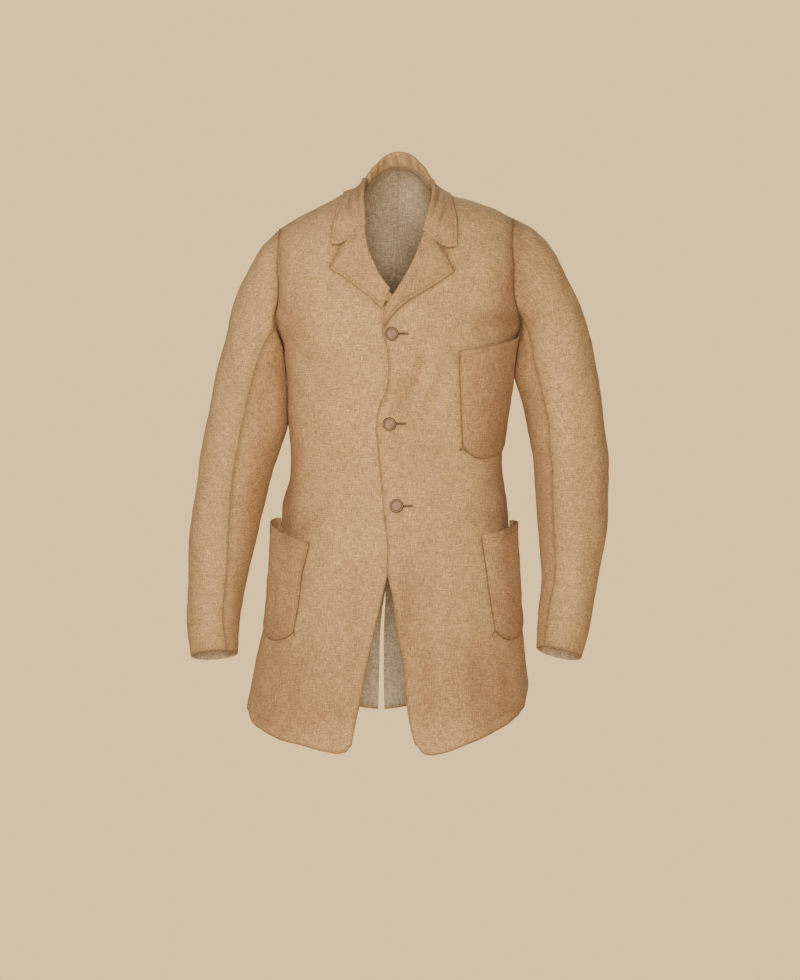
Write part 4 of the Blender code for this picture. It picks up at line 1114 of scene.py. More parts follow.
# The lapels: the fronts' upper corners, faced and turned back along the roll line, each a doubled cloth
# with a rounded edge, notched where it meets the collar.

# Where each row leaves the roll line, and its point on the outer edge.
RIGHT_LAPEL = table("roll_z x z", [
    (-42, -80, -70), (-52, -88, -85), (-64, -97, -101), (-78, -77, -113), (-91, -60, -127),
    (-105, -45, -138), (-118, -34, -147.5), (-127, -27.5, -153.5), (-133, -22.5, -158.5),
])
LEFT_LAPEL = table("roll_z x z", [
    (-52, 58, -71), (-61, 69, -87), (-72, 79, -106.5), (-86, 61, -119), (-102, 41, -131.5),
    (-120, 18, -145), (-140, -1, -160), (-161, -13, -174), (-181, -20, -186),
])

LAPELS = {RIGHT: RIGHT_LAPEL, LEFT: LEFT_LAPEL}
LAID_ON = 1.1
ROLL_RADIUS = 2.5
# How far the painted contact shadow beside a laid-on piece reaches, in mm.
CONTACT_SHADOW_REACH = 12.0
PRESSED_IN = 4.5
ROLLED_STITCH_IN = 4.6
LAPEL_SHARES = np.concatenate([np.linspace(0.04, 0.9, 26), 1 - np.array([5, 3.4, 2.2, 1.2, 0.5, 0]) / 70])
ROLL_TURNS = np.linspace(-90, 90, 11)


def on_line(where, key, points):
    """The point of a line at where along its key, which goes up with its points."""
    return np.array([np.interp(where, key, points[:, k]) for k in range(3)])


def along_roll(side, roll_z):
    """A point of the front's roll line at a height, and the direction out of the cloth there."""
    grid, normal = front_faces[side]
    edge = grid[:, 0] - normal[:, 0] * CLOTH / 2
    return on_line(roll_z, edge[:, 2], edge), unit(on_line(roll_z, edge[:, 2], normal[:, 0]))


def paint_contact_shadow(obj, edge, outwards):
    """Marks a panel with painted contact shadow beside and under a piece laid on it, most at the piece's edge
    and fading over the shadow's reach.

    outwards points off the laid piece at each point of its edge.
    """
    edge, outwards = np.array(edge), unit(np.array(outwards))
    points = np.empty(len(obj.data.vertices) * 3, np.float32)
    obj.data.vertices.foreach_get("co", points)
    points = points.reshape(-1, 3) / MM
    mark = obj.data.attributes.get("contact_shadow") or obj.data.attributes.new("contact_shadow", "FLOAT", "POINT")
    value = np.zeros(len(points), np.float32)
    mark.data.foreach_get("value", value)
    low, high = edge.min(axis=0) - CONTACT_SHADOW_REACH, edge.max(axis=0) + CONTACT_SHADOW_REACH
    near = np.nonzero(((points > low) & (points < high)).all(axis=1))[0]
    gaps = np.linalg.norm(points[near, None] - edge[None], axis=-1)
    closest = gaps.argmin(axis=1)
    gap = gaps.min(axis=1)
    off = ((points[near] - edge[closest]) * outwards[closest]).sum(axis=-1)
    aside = np.sqrt(np.maximum(gap**2 - off**2, 0))
    past_end = ((closest == 0) | (closest == len(edge) - 1)) & (aside > 2.2)
    signed = np.where(past_end, gap, np.maximum(off, -6)) - 0.8
    amount = np.where(gap < CONTACT_SHADOW_REACH, 1 - signed / CONTACT_SHADOW_REACH, 0)
    value[near] = np.maximum(value[near], amount)
    mark.data.foreach_set("value", value)


def lapel(side):
    rows = LAPELS[side]
    ends = rows["roll_z"]
    places = np.unique(np.concatenate([np.linspace(a, b, 9) for a, b in zip(ends[:-1], ends[1:])]))[::-1]
    places = np.unique(np.concatenate([places, ends[0] - np.array([0, 0.5, 1.2, 2.2])]))[::-1]
    grid, outside = [], []
    for roll_z in places:
        start, normal = along_roll(side, roll_z)
        above, _ = along_roll(side, roll_z + 6)
        far_x, far_z = [np.interp(-roll_z, -ends, rows[name]) for name in ("x", "z")]
        inward = unit(np.cross(normal, above - start)) * side
        inward *= np.sign(-side * inward[0]) or 1.0
        reach = abs(far_x - start[0]) + abs(far_z - roll_z)
        radius = ROLL_RADIUS * min(1.0, max(0.8, reach / 30))
        middle = start + inward * 1.1 + normal * radius
        turn = np.radians(ROLL_TURNS)[:, None]
        roll = middle + radius * (np.cos(turn) * inward + np.sin(turn) * normal)
        top = 2 * radius - CLOTH / 2
        high = top + (LAID_ON + CLOTH / 2 - top) * LAPEL_SHARES + 2.2 * np.sin(math.pi * LAPEL_SHARES)
        flat_x = start[0] + (far_x - start[0]) * LAPEL_SHARES
        flat, _ = place(flat_x, roll_z + (far_z - roll_z) * LAPEL_SHARES, side, high)
        grid.append(np.concatenate([roll, flat]))
        outside.append(normal)
    middle = np.array(grid)
    normal = grid_normal(middle, np.zeros(3) + 1)
    normal *= np.sign((normal[:, -1] * np.array(outside)).sum())
    far = distances(middle)
    edge = np.minimum(far["last_column"], far["first_row"])
    pressed = close_to(edge - PRESSED_IN, 1.2)
    outer = middle + normal * (CLOTH / 2 + 0.25 * ease((5 - edge) / 3) - 0.35 * pressed)[..., None]
    # Painted shade in the crevice where the lapel rolls back off the front.
    roll_shade = 0.5 * close_to(far["first_column"], 3)
    soil = np.maximum.reduce([0.2 * close_to(edge, 1.2), 0.3 * pressed, roll_shade])
    threads = np.stack([middle[..., 0], middle[..., 2]], -1)
    sewn(f"lapel_{SIDES[side]}", outer, normal, CLOTH + 0.3, soil, threads,
         (0.14, 0.2) if side == RIGHT else (0.28, 0.25))
    paint_contact_shadow(front_panels[side][2], outer[:, -1], outer[:, -1] - outer[:, -4])
    return outer, normal


lapel_faces = {side: lapel(side) for side in SIDES}


# The collar: one turned piece, its stand sewn round the neck and rippled where the neck seam eases it,
# folded over to a fall whose points lie on the fronts above the lapels.

# The collar from its front end (0) to the centre back (1): height of the stand, how upright it is,
# how far the fall bows out, and its outer edge each side as a distance out and an angle over the shoulder.
COLLAR = table("share stand upright bow right_x right_over left_x left_over", [
    (0.00, 2.0, 0.15, 1.8, 96, 25.6, 84, 22.4),
    (0.14, 3.0, 0.45, 0.9, 92.5, 39.6, 84.5, 35.5),
    (0.28, 4.5, 0.8, -0.5, 86, 55, 81.5, 51.7),
    (0.40, 6.0, 0.95, -1.8, 79.5, 71, 76.5, 69),
    (0.50, 7.5, 1.0, -2.4, 75.5, 90, 74, 90),
    (0.62, 11.0, 1.0, -1.8, 72, 105, 70, 105),
    (0.75, 14.8, 1.0, -0.4, 57, 110, 55, 110),
    (0.88, 17.3, 1.0, 0.6, 32, 119, 31, 119),
    (1.00, 18.0, 1.0, 0.8, 0, 125, 0, 125),
])

# Long soft folds of the fall, by its side of the coat: how far below the roll line each lies, how it leans,
# where along the half collar its middle is, how long and wide it is, and how high. Minus is a trough.
FALL_FOLDS = table("side down lean middle long width depth", [
    (-1, 7, 16, 0.30, 0.16, 2.6, -1.3),
    (-1, 13, 20, 0.26, 0.15, 3.2, 1.1),
    (-1, 20, 12, 0.22, 0.13, 2.8, -1.1),
    (-1, 27, 8, 0.34, 0.14, 3.4, 0.8),
    (-1, 16, -14, 0.62, 0.18, 3.4, -0.9),
    (1, 6, 14, 0.32, 0.17, 2.6, -1.3),
    (1, 12, 18, 0.28, 0.15, 3.0, 1.1),
    (1, 19, 14, 0.20, 0.12, 2.8, -1.1),
    (1, 25, 9, 0.36, 0.15, 3.4, 0.8),
    (1, 15, -12, 0.64, 0.18, 3.4, -0.9),
    (-1, 9, 0, 0.95, 0.20, 3.4, -0.7),
    (1, 17, 0, 0.93, 0.20, 3.6, 0.7),
])

COLLAR_SHARES = np.concatenate([[0, 0.0025, 0.006, 0.011, 0.018], np.linspace(0.03, 1, 80)])
FALL_SHARES = np.concatenate([np.linspace(0.04, 0.88, 22), 1 - np.array([5, 3.4, 2.2, 1.2, 0.5, 0]) / 50])
SEAM_GAP = 0.3
GORGE_Z = {RIGHT: -40.0, LEFT: -50.0}
SHOULDER_Z = 23.0
BACK_NECK_HALF = 46.5
FALL_FOLD_GAIN = 1.5


def over_point(x, over, out):
    """A point at a distance out and an angle over the shoulder: up the front to 90, then down the back."""
    facing = FRONT if over <= 90 else BACK
    return surface(angle_across(x, CHEST_Z), over if over <= 90 else 180 - over, facing, out)


def neck_point(side, share):
    """A point of the neck seam, from the front end of the collar to the centre back."""
    if share < 0.5:
        z = GORGE_Z[side] + (SHOULDER_Z - GORGE_Z[side]) * share / 0.5
        return place(read(EDGES[side], "z", "x", z), z, side, -CLOTH / 2)
    return over_point(side * BACK_NECK_HALF * (1 - (share - 0.5) / 0.5), 90.0, -CLOTH / 2)


def collar_section(side, share):
    """The middle of the collar's cloth at one place: up the stand, round the fold and down the fall."""
    point, normal = neck_point(side, share)
    before, _ = neck_point(side, max(share - 0.02, 0))
    after, _ = neck_point(side, min(share + 0.02, 1))
    inward = np.cross(normal, unit(after - before))
    inward *= np.sign(inward @ np.array([-side * 1.0, 0, 1.0])) or 1.0
    at = {name: read(COLLAR, "share", name, share) for name in COLLAR}
    upright = at["upright"]
    up = unit(inward * (1 - upright) + np.array([0, 0, 1.0]) * upright)
    level_out = unit(point * np.array([1.0, 1.0, 0]) - np.array([0, 8.0, 0]))
    out = normal * (1 - upright) + level_out * upright
    out = unit(out - up * (out @ up))
    lean = math.sqrt(max(0.0, 1 - float(inward @ up) ** 2))
    low = point + inward * (3 * SEAM_GAP + CLOTH / 2 * lean)
    high = low + up * at["stand"]
    radius = ROLL_RADIUS + 0.6 * ease(share * 3)
    middle = high + out * radius
    row = [low + (high - low) * part for part in np.linspace(0, 1, 8)]
    for turn in np.radians(np.linspace(0, 180, 12)[1:]):
        row.append(middle - radius * math.cos(turn) * out + radius * math.sin(turn) * up)
    far_x, far_over = side * at[f"{SIDES[side]}_x"], float(at[f"{SIDES[side]}_over"])
    end, end_normal = over_point(far_x, far_over, LAID_ON + CLOTH / 2)
    bow = np.sin(math.pi * FALL_SHARES)[:, None]
    bowing = at["bow"] * bow * (1.5 - FALL_SHARES[:, None])
    fall = row[-1] + (end - row[-1]) * FALL_SHARES[:, None] + (out + end_normal) * bowing
    fall = fall + np.array([0, 0, -10.0]) * bow * max(0.0, 1 - share / 0.1)
    if share < 0.42:
        limit, _ = place(fall[:, 0], fall[:, 2], side, LAID_ON + CLOTH / 2 + 0.4)
        fall[:, 1] = np.minimum(fall[:, 1], limit[:, 1])
    return row + list(fall)


def collar():
    shares = np.concatenate([COLLAR_SHARES, COLLAR_SHARES[-2::-1]])
    sides = [RIGHT] * len(COLLAR_SHARES) + [LEFT] * (len(COLLAR_SHARES) - 1)
    middle = np.array([collar_section(side, share) for side, share in zip(sides, shares)])
    normal = grid_normal(middle, np.zeros(3) + 1)
    normal *= np.sign(normal[:, 13, 2].mean())
    far = distances(middle)
    across, length = far["first_column"], far["first_row"][:, 8][:, None]
    eased = ease((shares[:, None] - 0.45) / 0.2) * ease((across - 1) / 4) * ease((22 - across) / 9)
    stand_ripple = 0.8 * np.sin(length * 2 * np.pi / 19 + 0.9 * np.sin(length / 31)) * eased
    fall_wave = 0.9 * ripple(middle * np.array([1.0, 1.0, 1.3]), 70, 33) * ease((across - 26) / 12)
    edge = np.minimum(far["last_column"], np.minimum(far["first_row"], far["last_row"]))
    pressed = 0.3 * close_to(edge - PRESSED_IN, 1.2)
    from_fold = across - across[:, 18:19]
    whole = length[-1]
    on_left = length > whole / 2
    along = np.where(on_left, whole - length, length) / (whole / 2)
    folds = np.zeros(middle.shape[:2])
    for fold_side, down, lean, at, long, width, depth in zip(*FALL_FOLDS.values()):
        fade = close_to(along - at, long) * (on_left == (fold_side == LEFT))
        line = down + lean * (along - at)
        folds = folds + FALL_FOLD_GAIN * depth * fade * close_to(from_fold - line, width)
    lift = stand_ripple + fall_wave * ease(edge / 10) - pressed + 0.2 * ease((5 - edge) / 3)
    lift = lift + folds * ease(edge / 6)
    outer = middle + normal * (CLOTH / 2 + lift)[..., None]
    # Painted shade in the troughs of the stand's ripples and the fall's folds.
    trough_shade = np.maximum(eased * (0.5 - stand_ripple / 1.6) * 0.5, 0.32 * np.clip(-folds, 0, 1.6))
    soil = np.maximum.reduce([0.2 * close_to(edge, 1.2), pressed, 0.6 * close_to(far["first_column"], 2.5),
                              trough_shade])
    threads = np.stack([far["first_row"] - far["first_row"][-1:] / 2, -across], -1)
    sewn("collar", outer, normal, CLOTH + 0.2, soil, threads,
         (0.06, 0.2))
    for panel in front_panels.values():
        paint_contact_shadow(panel[2], outer[:, -1], outer[:, -1] - outer[:, -4])
        for end in (0, -1):
            paint_contact_shadow(panel[2], outer[end, 24:], outer[end, 24:] - outer[3 if end == 0 else -4, 24:])
    return outer, normal


collar_face = collar()


# Three patch pockets, two on the hips and one on the left breast: each turned in all round, its top hemmed,
# stitched down its sides and bottom and standing off the front at the mouth from use.

# The inner side of each by height, and the numbers that shape the rest.
RIGHT_HIP_SIDE = table("z x", [
    (-466, -124), (-496, -127), (-542, -138), (-580, -142), (-621, -150), (-640, -153)])
LEFT_HIP_SIDE = table("z x", [(-466, 117), (-485, 120), (-540, 128), (-588, 135), (-621, 140), (-640, 142)])
CHEST_SIDE = table("z x", [(-186, 86), (-220, 88), (-300, 91), (-355, 95), (-380, 97)])
POCKETS = {
    "pocket_hip_right": dict(side=RIGHT, inner=RIGHT_HIP_SIDE, top=(-497, -461), end=(92.2, 92), bottom=-636,
                             corners=(11, 25), bulge=7.0, mouth=11.5, lean=0.7),
    "pocket_hip_left": dict(side=LEFT, inner=LEFT_HIP_SIDE, top=(-486, -465), end=(92.2, 92), bottom=-635,
                            corners=(12, 25), bulge=4.8, mouth=10.5, lean=0.7),
    "pocket_chest": dict(side=LEFT, inner=CHEST_SIDE, top=(-221, -190), end=(79, 89.5), bottom=-373.5,
                         corners=(15, 15), bulge=3.9, mouth=9.0, lean=-0.8),
}

# Creases of the pockets, as seen from the front.
POCKET_CREASES = table("x0 z0 x1 z1 bow width depth", [
    (-178, -540, -183, -602, 2, 3.5, -1.5),
    (-170, -534, -175, -596, 2, 4, 1.0),
    (-150, -480, -157, -530, -2, 6, -0.9),
    (157, -496, 160, -560, 2, 5, -0.9),
    (170, -520, 173, -592, -2, 4, -1.2),
    (116, -236, 124, -300, -3, 7, -0.9),
    (140, -230, 147, -292, 3, 7, 0.9),
])
POCKET_WIDTH = 75
POCKET_STITCH_IN = 2.4
POCKET_HEM = 7.0


def pocket(node, shape):
    side = shape["side"]
    down = spread(shape["top"][0] - shape["bottom"], 3.4)[:, None]
    across = spread(POCKET_WIDTH, 2.6)[None, :]
    top = shape["top"][0] + (shape["top"][1] - shape["top"][0]) * across
    inner_corner, outer_corner = shape["corners"]
    corner = inner_corner * np.maximum(0, 1 - across / 0.25) ** 2
    corner = corner + outer_corner * np.maximum(0, (across - 0.3) / 0.7) ** 1.5
    z = top + (shape["bottom"] + corner - top) * down
    start = angle_across(read(shape["inner"], "z", "x", z), z)
    end = side * (shape["end"][0] + (shape["end"][1] - shape["end"][0]) * down)
    angle = start + (end - start) * across
    swell = np.maximum(0.0, 4 * across * (1 - across)) ** 0.6
    body = shape["bulge"] * swell * np.sin(math.pi * (0.35 + 0.65 * down))
    mouth = shape["mouth"] * swell * (1 - down) ** 2 * (1 + shape["lean"] * (across - 0.5))
    out = LAID_ON + CLOTH + np.maximum(body, 0) + mouth
    grid, normal = surface(angle, z - CHEST_Z, FRONT, out, side == LEFT)
    far = distances(grid)
    edge = np.minimum.reduce([far["first_column"], far["last_column"], far["last_row"]])
    held_down = 1.0 - ease(edge / 5)
    stitched = close_to(edge - POCKET_STITCH_IN, 0.9)
    hemmed = ease((POCKET_HEM - far["first_row"]) / 1.2)
    hem_line = close_to(far["first_row"] - POCKET_HEM, 0.9)
    wave = 0.5 * ripple(grid, 60, 51) * ease(edge / 14)
    wave = wave + creases(POCKET_CREASES, grid[..., 0], grid[..., 2]) * ease(edge / 9)
    lift = wave + 0.3 * hemmed - 1.05 * held_down - 0.35 * stitched - 0.25 * hem_line
    grid = grid + normal * lift[..., None]
    soil = np.maximum.reduce([0.3 * close_to(edge, 1.2), 0.35 * stitched, 0.4 * hem_line,
                              0.5 * close_to(far["first_row"], 1.6)])
    threads = np.stack([side * far["first_column"] + grid[..., 0][:, :1], grid[..., 2]], -1)
    sewn(node, grid, normal, CLOTH, soil, threads, (0.22, 0.5))
    sides = np.concatenate([grid[:, 0], grid[-1], grid[::-1, -1]])
    inner = np.concatenate([grid[:, 3], grid[-4], grid[::-1, -4]])
    paint_contact_shadow(front_panels[side][2], sides, sides - inner)
    return grid, normal


pocket_faces = {node: pocket(node, shape) for node, shape in POCKETS.items()}


# Three buttons: each a disc with a raised rim, covered in brown cloth that is drawn tight over it and
# gathered at its edge, sewn on where the left front laps over the right; painted shade darkens the groove
# inside the rim and its outer side.
BUTTONS = {"button_top": (-9, -196), "button_middle": (-12, -325), "button_bottom": (-2, -444)}
BUTTON_PROFILE = table("radius height", [
    (0.0, 0.0), (7.6, 0.0), (8.9, 0.3), (9.6, 0.9), (9.95, 1.7), (9.8, 2.7), (9.2, 3.6), (8.5, 3.95),
    (7.8, 3.8), (7.2, 3.4), (6.4, 3.3), (5.0, 3.6), (3.2, 4.1), (1.5, 4.45), (0.6, 4.55),
])
BUTTON_STEPS = 72


def button(node, x, z):
    foot, axis = place(float(x), float(z), LEFT, 1.1)
    flat = unit(np.cross(axis, np.array([0, 0, 1.0])))
    upright = np.cross(flat, axis)
    turn = np.linspace(0, 2 * np.pi, BUTTON_STEPS, endpoint=False)
    count = len(BUTTON_PROFILE["radius"])
    profile = {"step": np.arange(count), **BUTTON_PROFILE}
    steps = np.linspace(0, count - 1, 3 * count)
    radius, height = [read(profile, "step", name, steps)[1:, None] for name in BUTTON_PROFILE]
    gathers = 0.09 * np.sin(turn * 24)[None] * close_to(radius - 9.4, 0.9)
    ring = (radius + gathers)[..., None] * (np.cos(turn)[:, None] * flat + np.sin(turn)[:, None] * upright)
    points = foot + ring + (height * np.ones(BUTTON_STEPS))[..., None] * axis
    middle = np.array([foot, foot + axis * 4.6])
    everything = np.concatenate([points.reshape(-1, 3), middle]) * MM
    under, top = len(everything) - 2, len(everything) - 1
    faces = []
    for k in range(BUTTON_STEPS):
        n = (k + 1) % BUTTON_STEPS
        for low in range(0, under - BUTTON_STEPS, BUTTON_STEPS):
            high = low + BUTTON_STEPS
            faces.append((low + k, low + n, high + n, high + k))
        faces += [(under, n, k), (top, high + k, high + n)]
    mesh = smooth_mesh(f"{node}_cover", everything, faces, CLOTHS["button_cloth"])
    fixed = bmesh.new()
    fixed.from_mesh(mesh)
    bmesh.ops.recalc_face_normals(fixed, faces=fixed.faces)
    fixed.to_mesh(mesh)
    fixed.free()
    local = everything / MM - foot
    threads = np.stack([local @ flat, local @ upright], -1)
    out = np.hypot(threads[:, 0], threads[:, 1])
    # Painted shade in the groove inside the rim and round the rim's outer side.
    mark_points(mesh, "soil", 0.9 * close_to(out - 7.1, 0.8) + 1.0 * ease((out - 8.5) / 0.7))
    map_threads(mesh, threads)
    obj = in_scene(f"{node}_cover", mesh)
    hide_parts(node)
    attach(obj, "root")


for node, (x, z) in BUTTONS.items():
    button(node, x, z)


# The hand stitching: thread runs along the turned edges of fronts, lapels, collar, pockets, hem and cuffs,
# and the buttonholes are worked over both lips. Geometry nodes lay each stitch along its path.
THREAD = 0.42


def thread_finish(name, colour):
    """Sewing thread: two plies twisted, with painted shade between the plies and painted highlight on their
    crowns.
    """
    made, tree, where = new_finish(name)
    twist = add_node(tree, "ShaderNodeTexWave", {"Scale": 620, "Vector": where}, wave_type="BANDS",
                     bands_direction="DIAGONAL").outputs["Fac"]
    darkening = noise(tree, where, 180.0, 2.0)
    darker = [part * 0.62 for part in colour]
    # Painted shade between the plies and painted highlight on their crowns.
    ply_light_and_shade = blend(tree, remap(tree, twist, 0.1, 0.9, 0.0, 1.0), darker, colour)
    tone = blend(tree, remap(tree, darkening, 0.3, 0.7, 0.0, 0.45), ply_light_and_shade, darker)
    return finished(made, {"Base Color": tone, "Normal": bump(tree, twist, 0.0001, 0.6), "Roughness": 0.75})


def stitch_nodes():
    """Lays stitches along the given paths: spaced by Pitch, each turned the way its path's attribute says."""
    tree = bpy.data.node_groups.new("stitches_on_paths", "GeometryNodeTree")
    for name, kind in (("Paths", "Geometry"), ("Pitch", "Float"), ("Length", "Float"), ("Thickness", "Float"),
                       ("Thread", "Material")):
        tree.interface.new_socket(name, in_out="INPUT", socket_type=f"NodeSocket{kind}")
    tree.interface.new_socket("Stitches", in_out="OUTPUT", socket_type="NodeSocketGeometry")
    given = add_node(tree, "NodeGroupInput").outputs
    curve = add_node(tree, "GeometryNodeMeshToCurve", {"Mesh": given["Paths"]})
    even = add_node(tree, "GeometryNodeResampleCurve",
                    {"Curve": curve.outputs["Curve"], "Length": given["Pitch"]}, mode="LENGTH")
    ball = add_node(tree, "GeometryNodeMeshUVSphere", {"Segments": 7, "Rings": 5, "Radius": 0.5})
    thick = given["Thickness"]
    sizes = add_node(tree, "ShaderNodeCombineXYZ", enumerate((given["Length"], thick, thick)))
    way = add_node(tree, "GeometryNodeInputNamedAttribute", {"Name": "way"}, data_type="FLOAT_VECTOR")
    turn = add_node(tree, "FunctionNodeAlignRotationToVector", {"Vector": way.outputs["Attribute"]}, axis="X")
    chance = add_node(tree, "FunctionNodeRandomValue",
                      {0: (-0.07, -0.07, -0.12), 1: (0.07, 0.07, 0.12), "Seed": 5}, data_type="FLOAT_VECTOR")
    loose = add_node(tree, "FunctionNodeRotateRotation",
                     {"Rotation": turn.outputs["Rotation"], "Rotate By": chance.outputs[0]},
                     rotation_space="LOCAL")
    on_points = add_node(tree, "GeometryNodeInstanceOnPoints", {
        "Points": even.outputs["Curve"],
        "Instance": ball.outputs["Mesh"],
        "Rotation": loose.outputs["Rotation"],
        "Scale": sizes.outputs[0],
    })
    real = add_node(tree, "GeometryNodeRealizeInstances", {"Geometry": on_points.outputs["Instances"]})
    smooth = add_node(tree, "GeometryNodeSetShadeSmooth", {"Geometry": real.outputs["Geometry"]})
    dressed = add_node(tree, "GeometryNodeSetMaterial",
                       {"Geometry": smooth.outputs["Geometry"], "Material": given["Thread"]})
    add_node(tree, "NodeGroupOutput", {"Stitches": dressed.outputs["Geometry"]})
    return tree


STITCH_NODES = stitch_nodes()


def stitch(name, paths, pitch, length, thick, thread):
    """Stitches along paths, each a pair of points and the ways the stitches lie there, in millimetres."""
    points = np.concatenate([path for path, _ in paths]) * MM
    ways = np.concatenate([way for _, way in paths])
    edges, first = [], 0
    for path, _ in paths:
        edges += [(first + i, first + i + 1) for i in range(len(path) - 1)]
        first += len(path)
    mesh = bpy.data.meshes.new(f"{name}_paths")
    mesh.from_pydata(points.tolist(), edges, [])
    mark = mesh.attributes.new("way", "FLOAT_VECTOR", "POINT")
    mark.data.foreach_set("vector", ways.ravel().astype(np.float32))
    lines = in_scene(f"{name}_paths", mesh)
    modifier = lines.modifiers.new("stitches", "NODES")
    modifier.node_group = STITCH_NODES
    values = {"Pitch": pitch * MM, "Length": length * MM, "Thickness": thick * MM, "Thread": thread}
    for socket in STITCH_NODES.interface.items_tree:
        if socket.in_out == "INPUT" and socket.name in values:
            modifier[socket.identifier] = values[socket.name]
    done = lines.evaluated_get(bpy.context.evaluated_depsgraph_get())
    plain_mesh = bpy.data.meshes.new_from_object(done)
    plain_mesh.name = name
    obj = in_scene(name, plain_mesh)
    bpy.data.objects.remove(lines, do_unlink=True)
    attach(obj, "root")


def inset(face, edge, distance, skip=(0.0, 0.0), out=0.02):
    """A path at a distance in from one edge of a face, short of its ends by the skips, with its ways."""
    turned = {"first_column": lambda g: g,
              "last_column": lambda g: g[:, ::-1],
              "first_row": lambda g: g.transpose(1, 0, 2),
              "last_row": lambda g: g[::-1].transpose(1, 0, 2)}[edge]
    path = np.array([on_line(distance, run_along(row), row + up * out)
                     for row, up in zip(turned(face[0]), turned(face[1]))])
    arc = run_along(path)
    path = path[(arc >= skip[0]) & (arc <= arc[-1] - skip[1])]
    return path, unit(np.gradient(path, axis=0))


def below(line, z):
    """The part of a path under a height."""
    kept = line[0][:, 2] < z
    return line[0][kept], line[1][kept]


tan_thread = thread_finish("tan_thread", (0.33, 0.185, 0.075))
dark_thread = thread_finish("dark_thread", (0.155, 0.085, 0.04))
edge_lines = [
    below(inset(front_faces[side], "first_column", EDGE_STITCH_IN, (20, 0)), rows["roll_z"][-1] - 12)
    for side, rows in LAPELS.items()]
edge_lines += [inset(face, "last_column", ROLLED_STITCH_IN, (3, 8)) for face in lapel_faces.values()]
edge_lines.append(inset(collar_face, "last_column", ROLLED_STITCH_IN, (5, 5)))
stitch("edge_stitches", edge_lines, 3.4, 2.3, THREAD, tan_thread)
pocket_lines = []
for face in pocket_faces.values():
    pocket_lines += [inset(face, "first_column", POCKET_STITCH_IN, (0.5, 3)),
                     inset(face, "last_column", POCKET_STITCH_IN, (0.5, 3)),
                     inset(face, "last_row", POCKET_STITCH_IN, (3, 3)),
                     inset(face, "first_row", POCKET_HEM, (2.5, 2.5))]
stitch("pocket_stitches", pocket_lines, 3.0, 2.1, THREAD, tan_thread)
hem_lines = [inset(face, "first_row", HEM_STITCH_IN, (6, 1))
             for face in (*front_faces.values(), *back_faces.values())]
hem_lines += [inset(face, "last_row", CUFF_TURNED) for face in sleeve_faces.values()]
stitch("hem_stitches", hem_lines, 6.5, 1.3, THREAD * 0.8, tan_thread)

HOLE_START = 6.0
HOLE_END = 22.5
HOLE_LIP = 1.25


def buttonhole(x, z):
    """The path round a buttonhole's lips, with ways across it, and the outline of its slit, a dark sheet of
    painted shadow.
    """
    along = np.linspace(HOLE_START, HOLE_END, 22)
    round_end = np.radians(np.linspace(-90, 90, 9)[1:-1])
    u = np.concatenate([along, HOLE_END + HOLE_LIP * np.cos(round_end), along[::-1]])
    v = np.concatenate([np.full(22, -HOLE_LIP), HOLE_LIP * np.sin(round_end), np.full(22, HOLE_LIP)])
    path, _ = place(x + u, z + v, LEFT, 0.32)
    middle, _ = place(x + np.minimum(u, HOLE_END), np.full(len(u), z), LEFT, 0.32)
    slit_u = np.linspace(HOLE_START, HOLE_END + 0.3, 16)
    slit_v = 0.55 * np.sqrt(np.maximum(0.02, 1 - ((slit_u - 14) / 9.2) ** 2))
    slit = [place(x + slit_u, z + way * slit_v, LEFT, 0.34)[0] for way in (-1, 1)]
    return (path, unit(path - middle)), slit


holes = [buttonhole(x, z) for x, z in BUTTONS.values()]
stitch("buttonhole_stitches", [path for path, _ in holes], 0.62, 2.3, THREAD, dark_thread)


def slit_finish():
    made, tree, where = new_finish("slit_shade")
    tone = blend(tree, noise(tree, where, 400.0), (0.030, 0.016, 0.008), (0.055, 0.03, 0.014))
    return finished(made, {"Base Color": tone, "Roughness": 1.0})


def slits():
    """The three cut openings of the buttonholes, each a narrow dark lens of painted shadow between its worked
    lips.
    """
    points, faces = [], []
    for _, (low, high) in holes:
        first = len(points)
        count = len(low)
        points += [tuple(p * MM) for p in (*low, *high)]
        faces += [(i, i + 1, count + i + 1, count + i) for i in range(first, first + count - 1)]
    mesh = bpy.data.meshes.new("buttonhole_slits")
    mesh.from_pydata(points, [], faces)
    mesh.materials.append(slit_finish())
    obj = in_scene("buttonhole_slits", mesh)
    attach(obj, "root")


slits()


# The stand-in for a studio: a pale plain floor as far below the coat as a wearer's feet would be, soft light
# from the front and from above the wearer's right, and a camera straight in front.
FLOOR_Z = -1.45
FLOOR_COLOUR = (0.86, 0.70, 0.47)
CAMERA_AWAY = 15
SEEN_HEIGHT = 1.421


def floor_finish():
    made, tree, where = new_finish("floor_paper")
    cloudy = remap(tree, noise(tree, where, 1.6, 4.0), 0.3, 0.7, 0.0, 1.0)
    darker = [part * 0.96 for part in FLOOR_COLOUR]
    return finished(made, {"Base Color": blend(tree, cloudy, FLOOR_COLOUR, darker), "Roughness": 0.9})


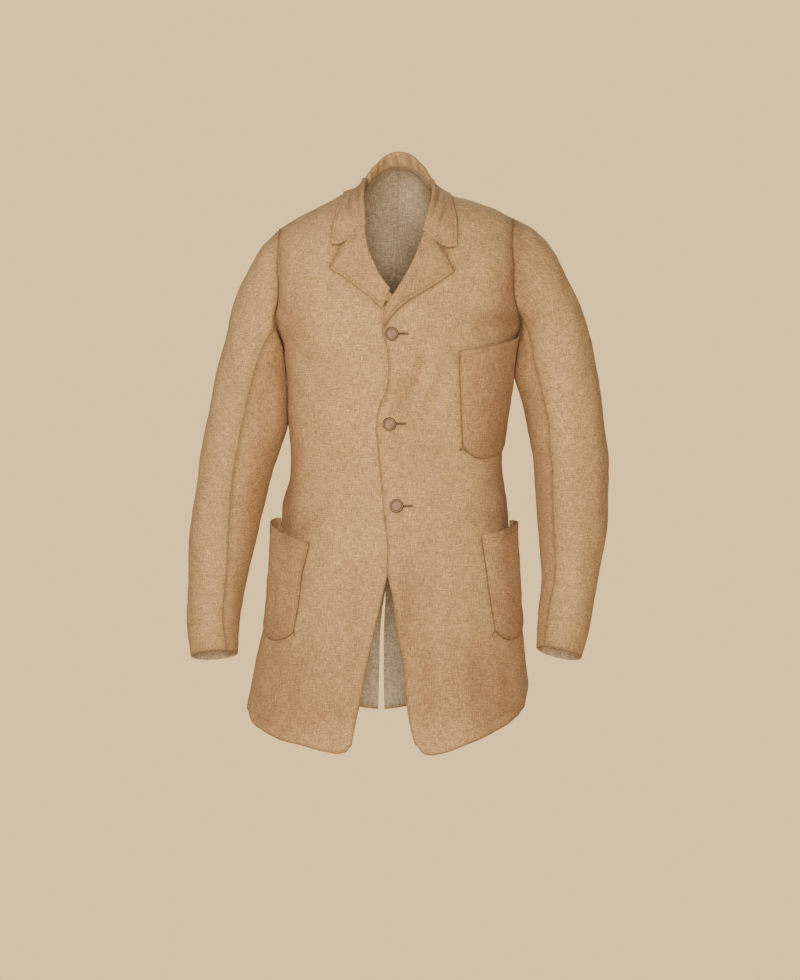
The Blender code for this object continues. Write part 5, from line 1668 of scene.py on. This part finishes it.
def floor():
    mesh = bpy.data.meshes.new("floor")
    shape = bmesh.new()
    bmesh.ops.create_circle(shape, cap_ends=True, segments=96, radius=5.0)
    bmesh.ops.translate(shape, verts=shape.verts, vec=(0, 0, FLOOR_Z))
    shape.to_mesh(mesh)
    shape.free()
    mesh.materials.append(floor_finish())
    in_scene("floor", mesh)


def lamp(name, place_m, aim_m, size, power, colour=(1, 1, 1)):
    light = bpy.data.lights.new(name, "AREA")
    light.shape = "DISK"
    light.size = size
    light.energy = power
    light.color = colour
    obj = in_scene(name, light)
    obj.location = place_m
    way = np.array(place_m, float) - np.array(aim_m, float)
    obj.rotation_euler = (math.atan2(math.hypot(way[0], way[1]), way[2]), 0, math.atan2(way[0], -way[1]))


floor()
lamp("front", (0.05, -5.0, -0.3), (0, 0, -0.4), 1.3, 225)
lamp("key", (-1.9, -3.0, 1.9), (0, 0, -0.4), 1.0, 80)
lamp("back", (0.6, 3.2, 1.0), (0, 0, -0.35), 2.0, 70, (1.0, 0.86, 0.68))
world = bpy.data.worlds.new("studio")
bpy.context.scene.world = world
world.use_nodes = True
sky = world.node_tree
wall = sky.nodes["Background"]
wall.inputs["Color"].default_value = (1.0, 0.69, 0.308, 1)
wall.inputs["Strength"].default_value = 1.38
glow = add_node(sky, "ShaderNodeBackground", {"Color": (1.0, 0.95, 0.88, 1), "Strength": 0.26})
seen = add_node(sky, "ShaderNodeLightPath").outputs["Is Camera Ray"]
either = add_node(sky, "ShaderNodeMixShader", enumerate((seen, glow.outputs[0], wall.outputs[0])))
sky.links.new(either.outputs[0], sky.nodes["World Output"].inputs[0])

camera_data = bpy.data.cameras.new("camera")
camera_data.sensor_fit = "VERTICAL"
camera_data.sensor_height = 36
camera_data.lens = 36 * CAMERA_AWAY / SEEN_HEIGHT
camera_data.clip_end = 100
camera = in_scene("camera", camera_data)
camera.location = (0.003, -CAMERA_AWAY, -0.4205)
camera.rotation_euler = (math.pi / 2, 0, 0)
bpy.context.scene.camera = camera
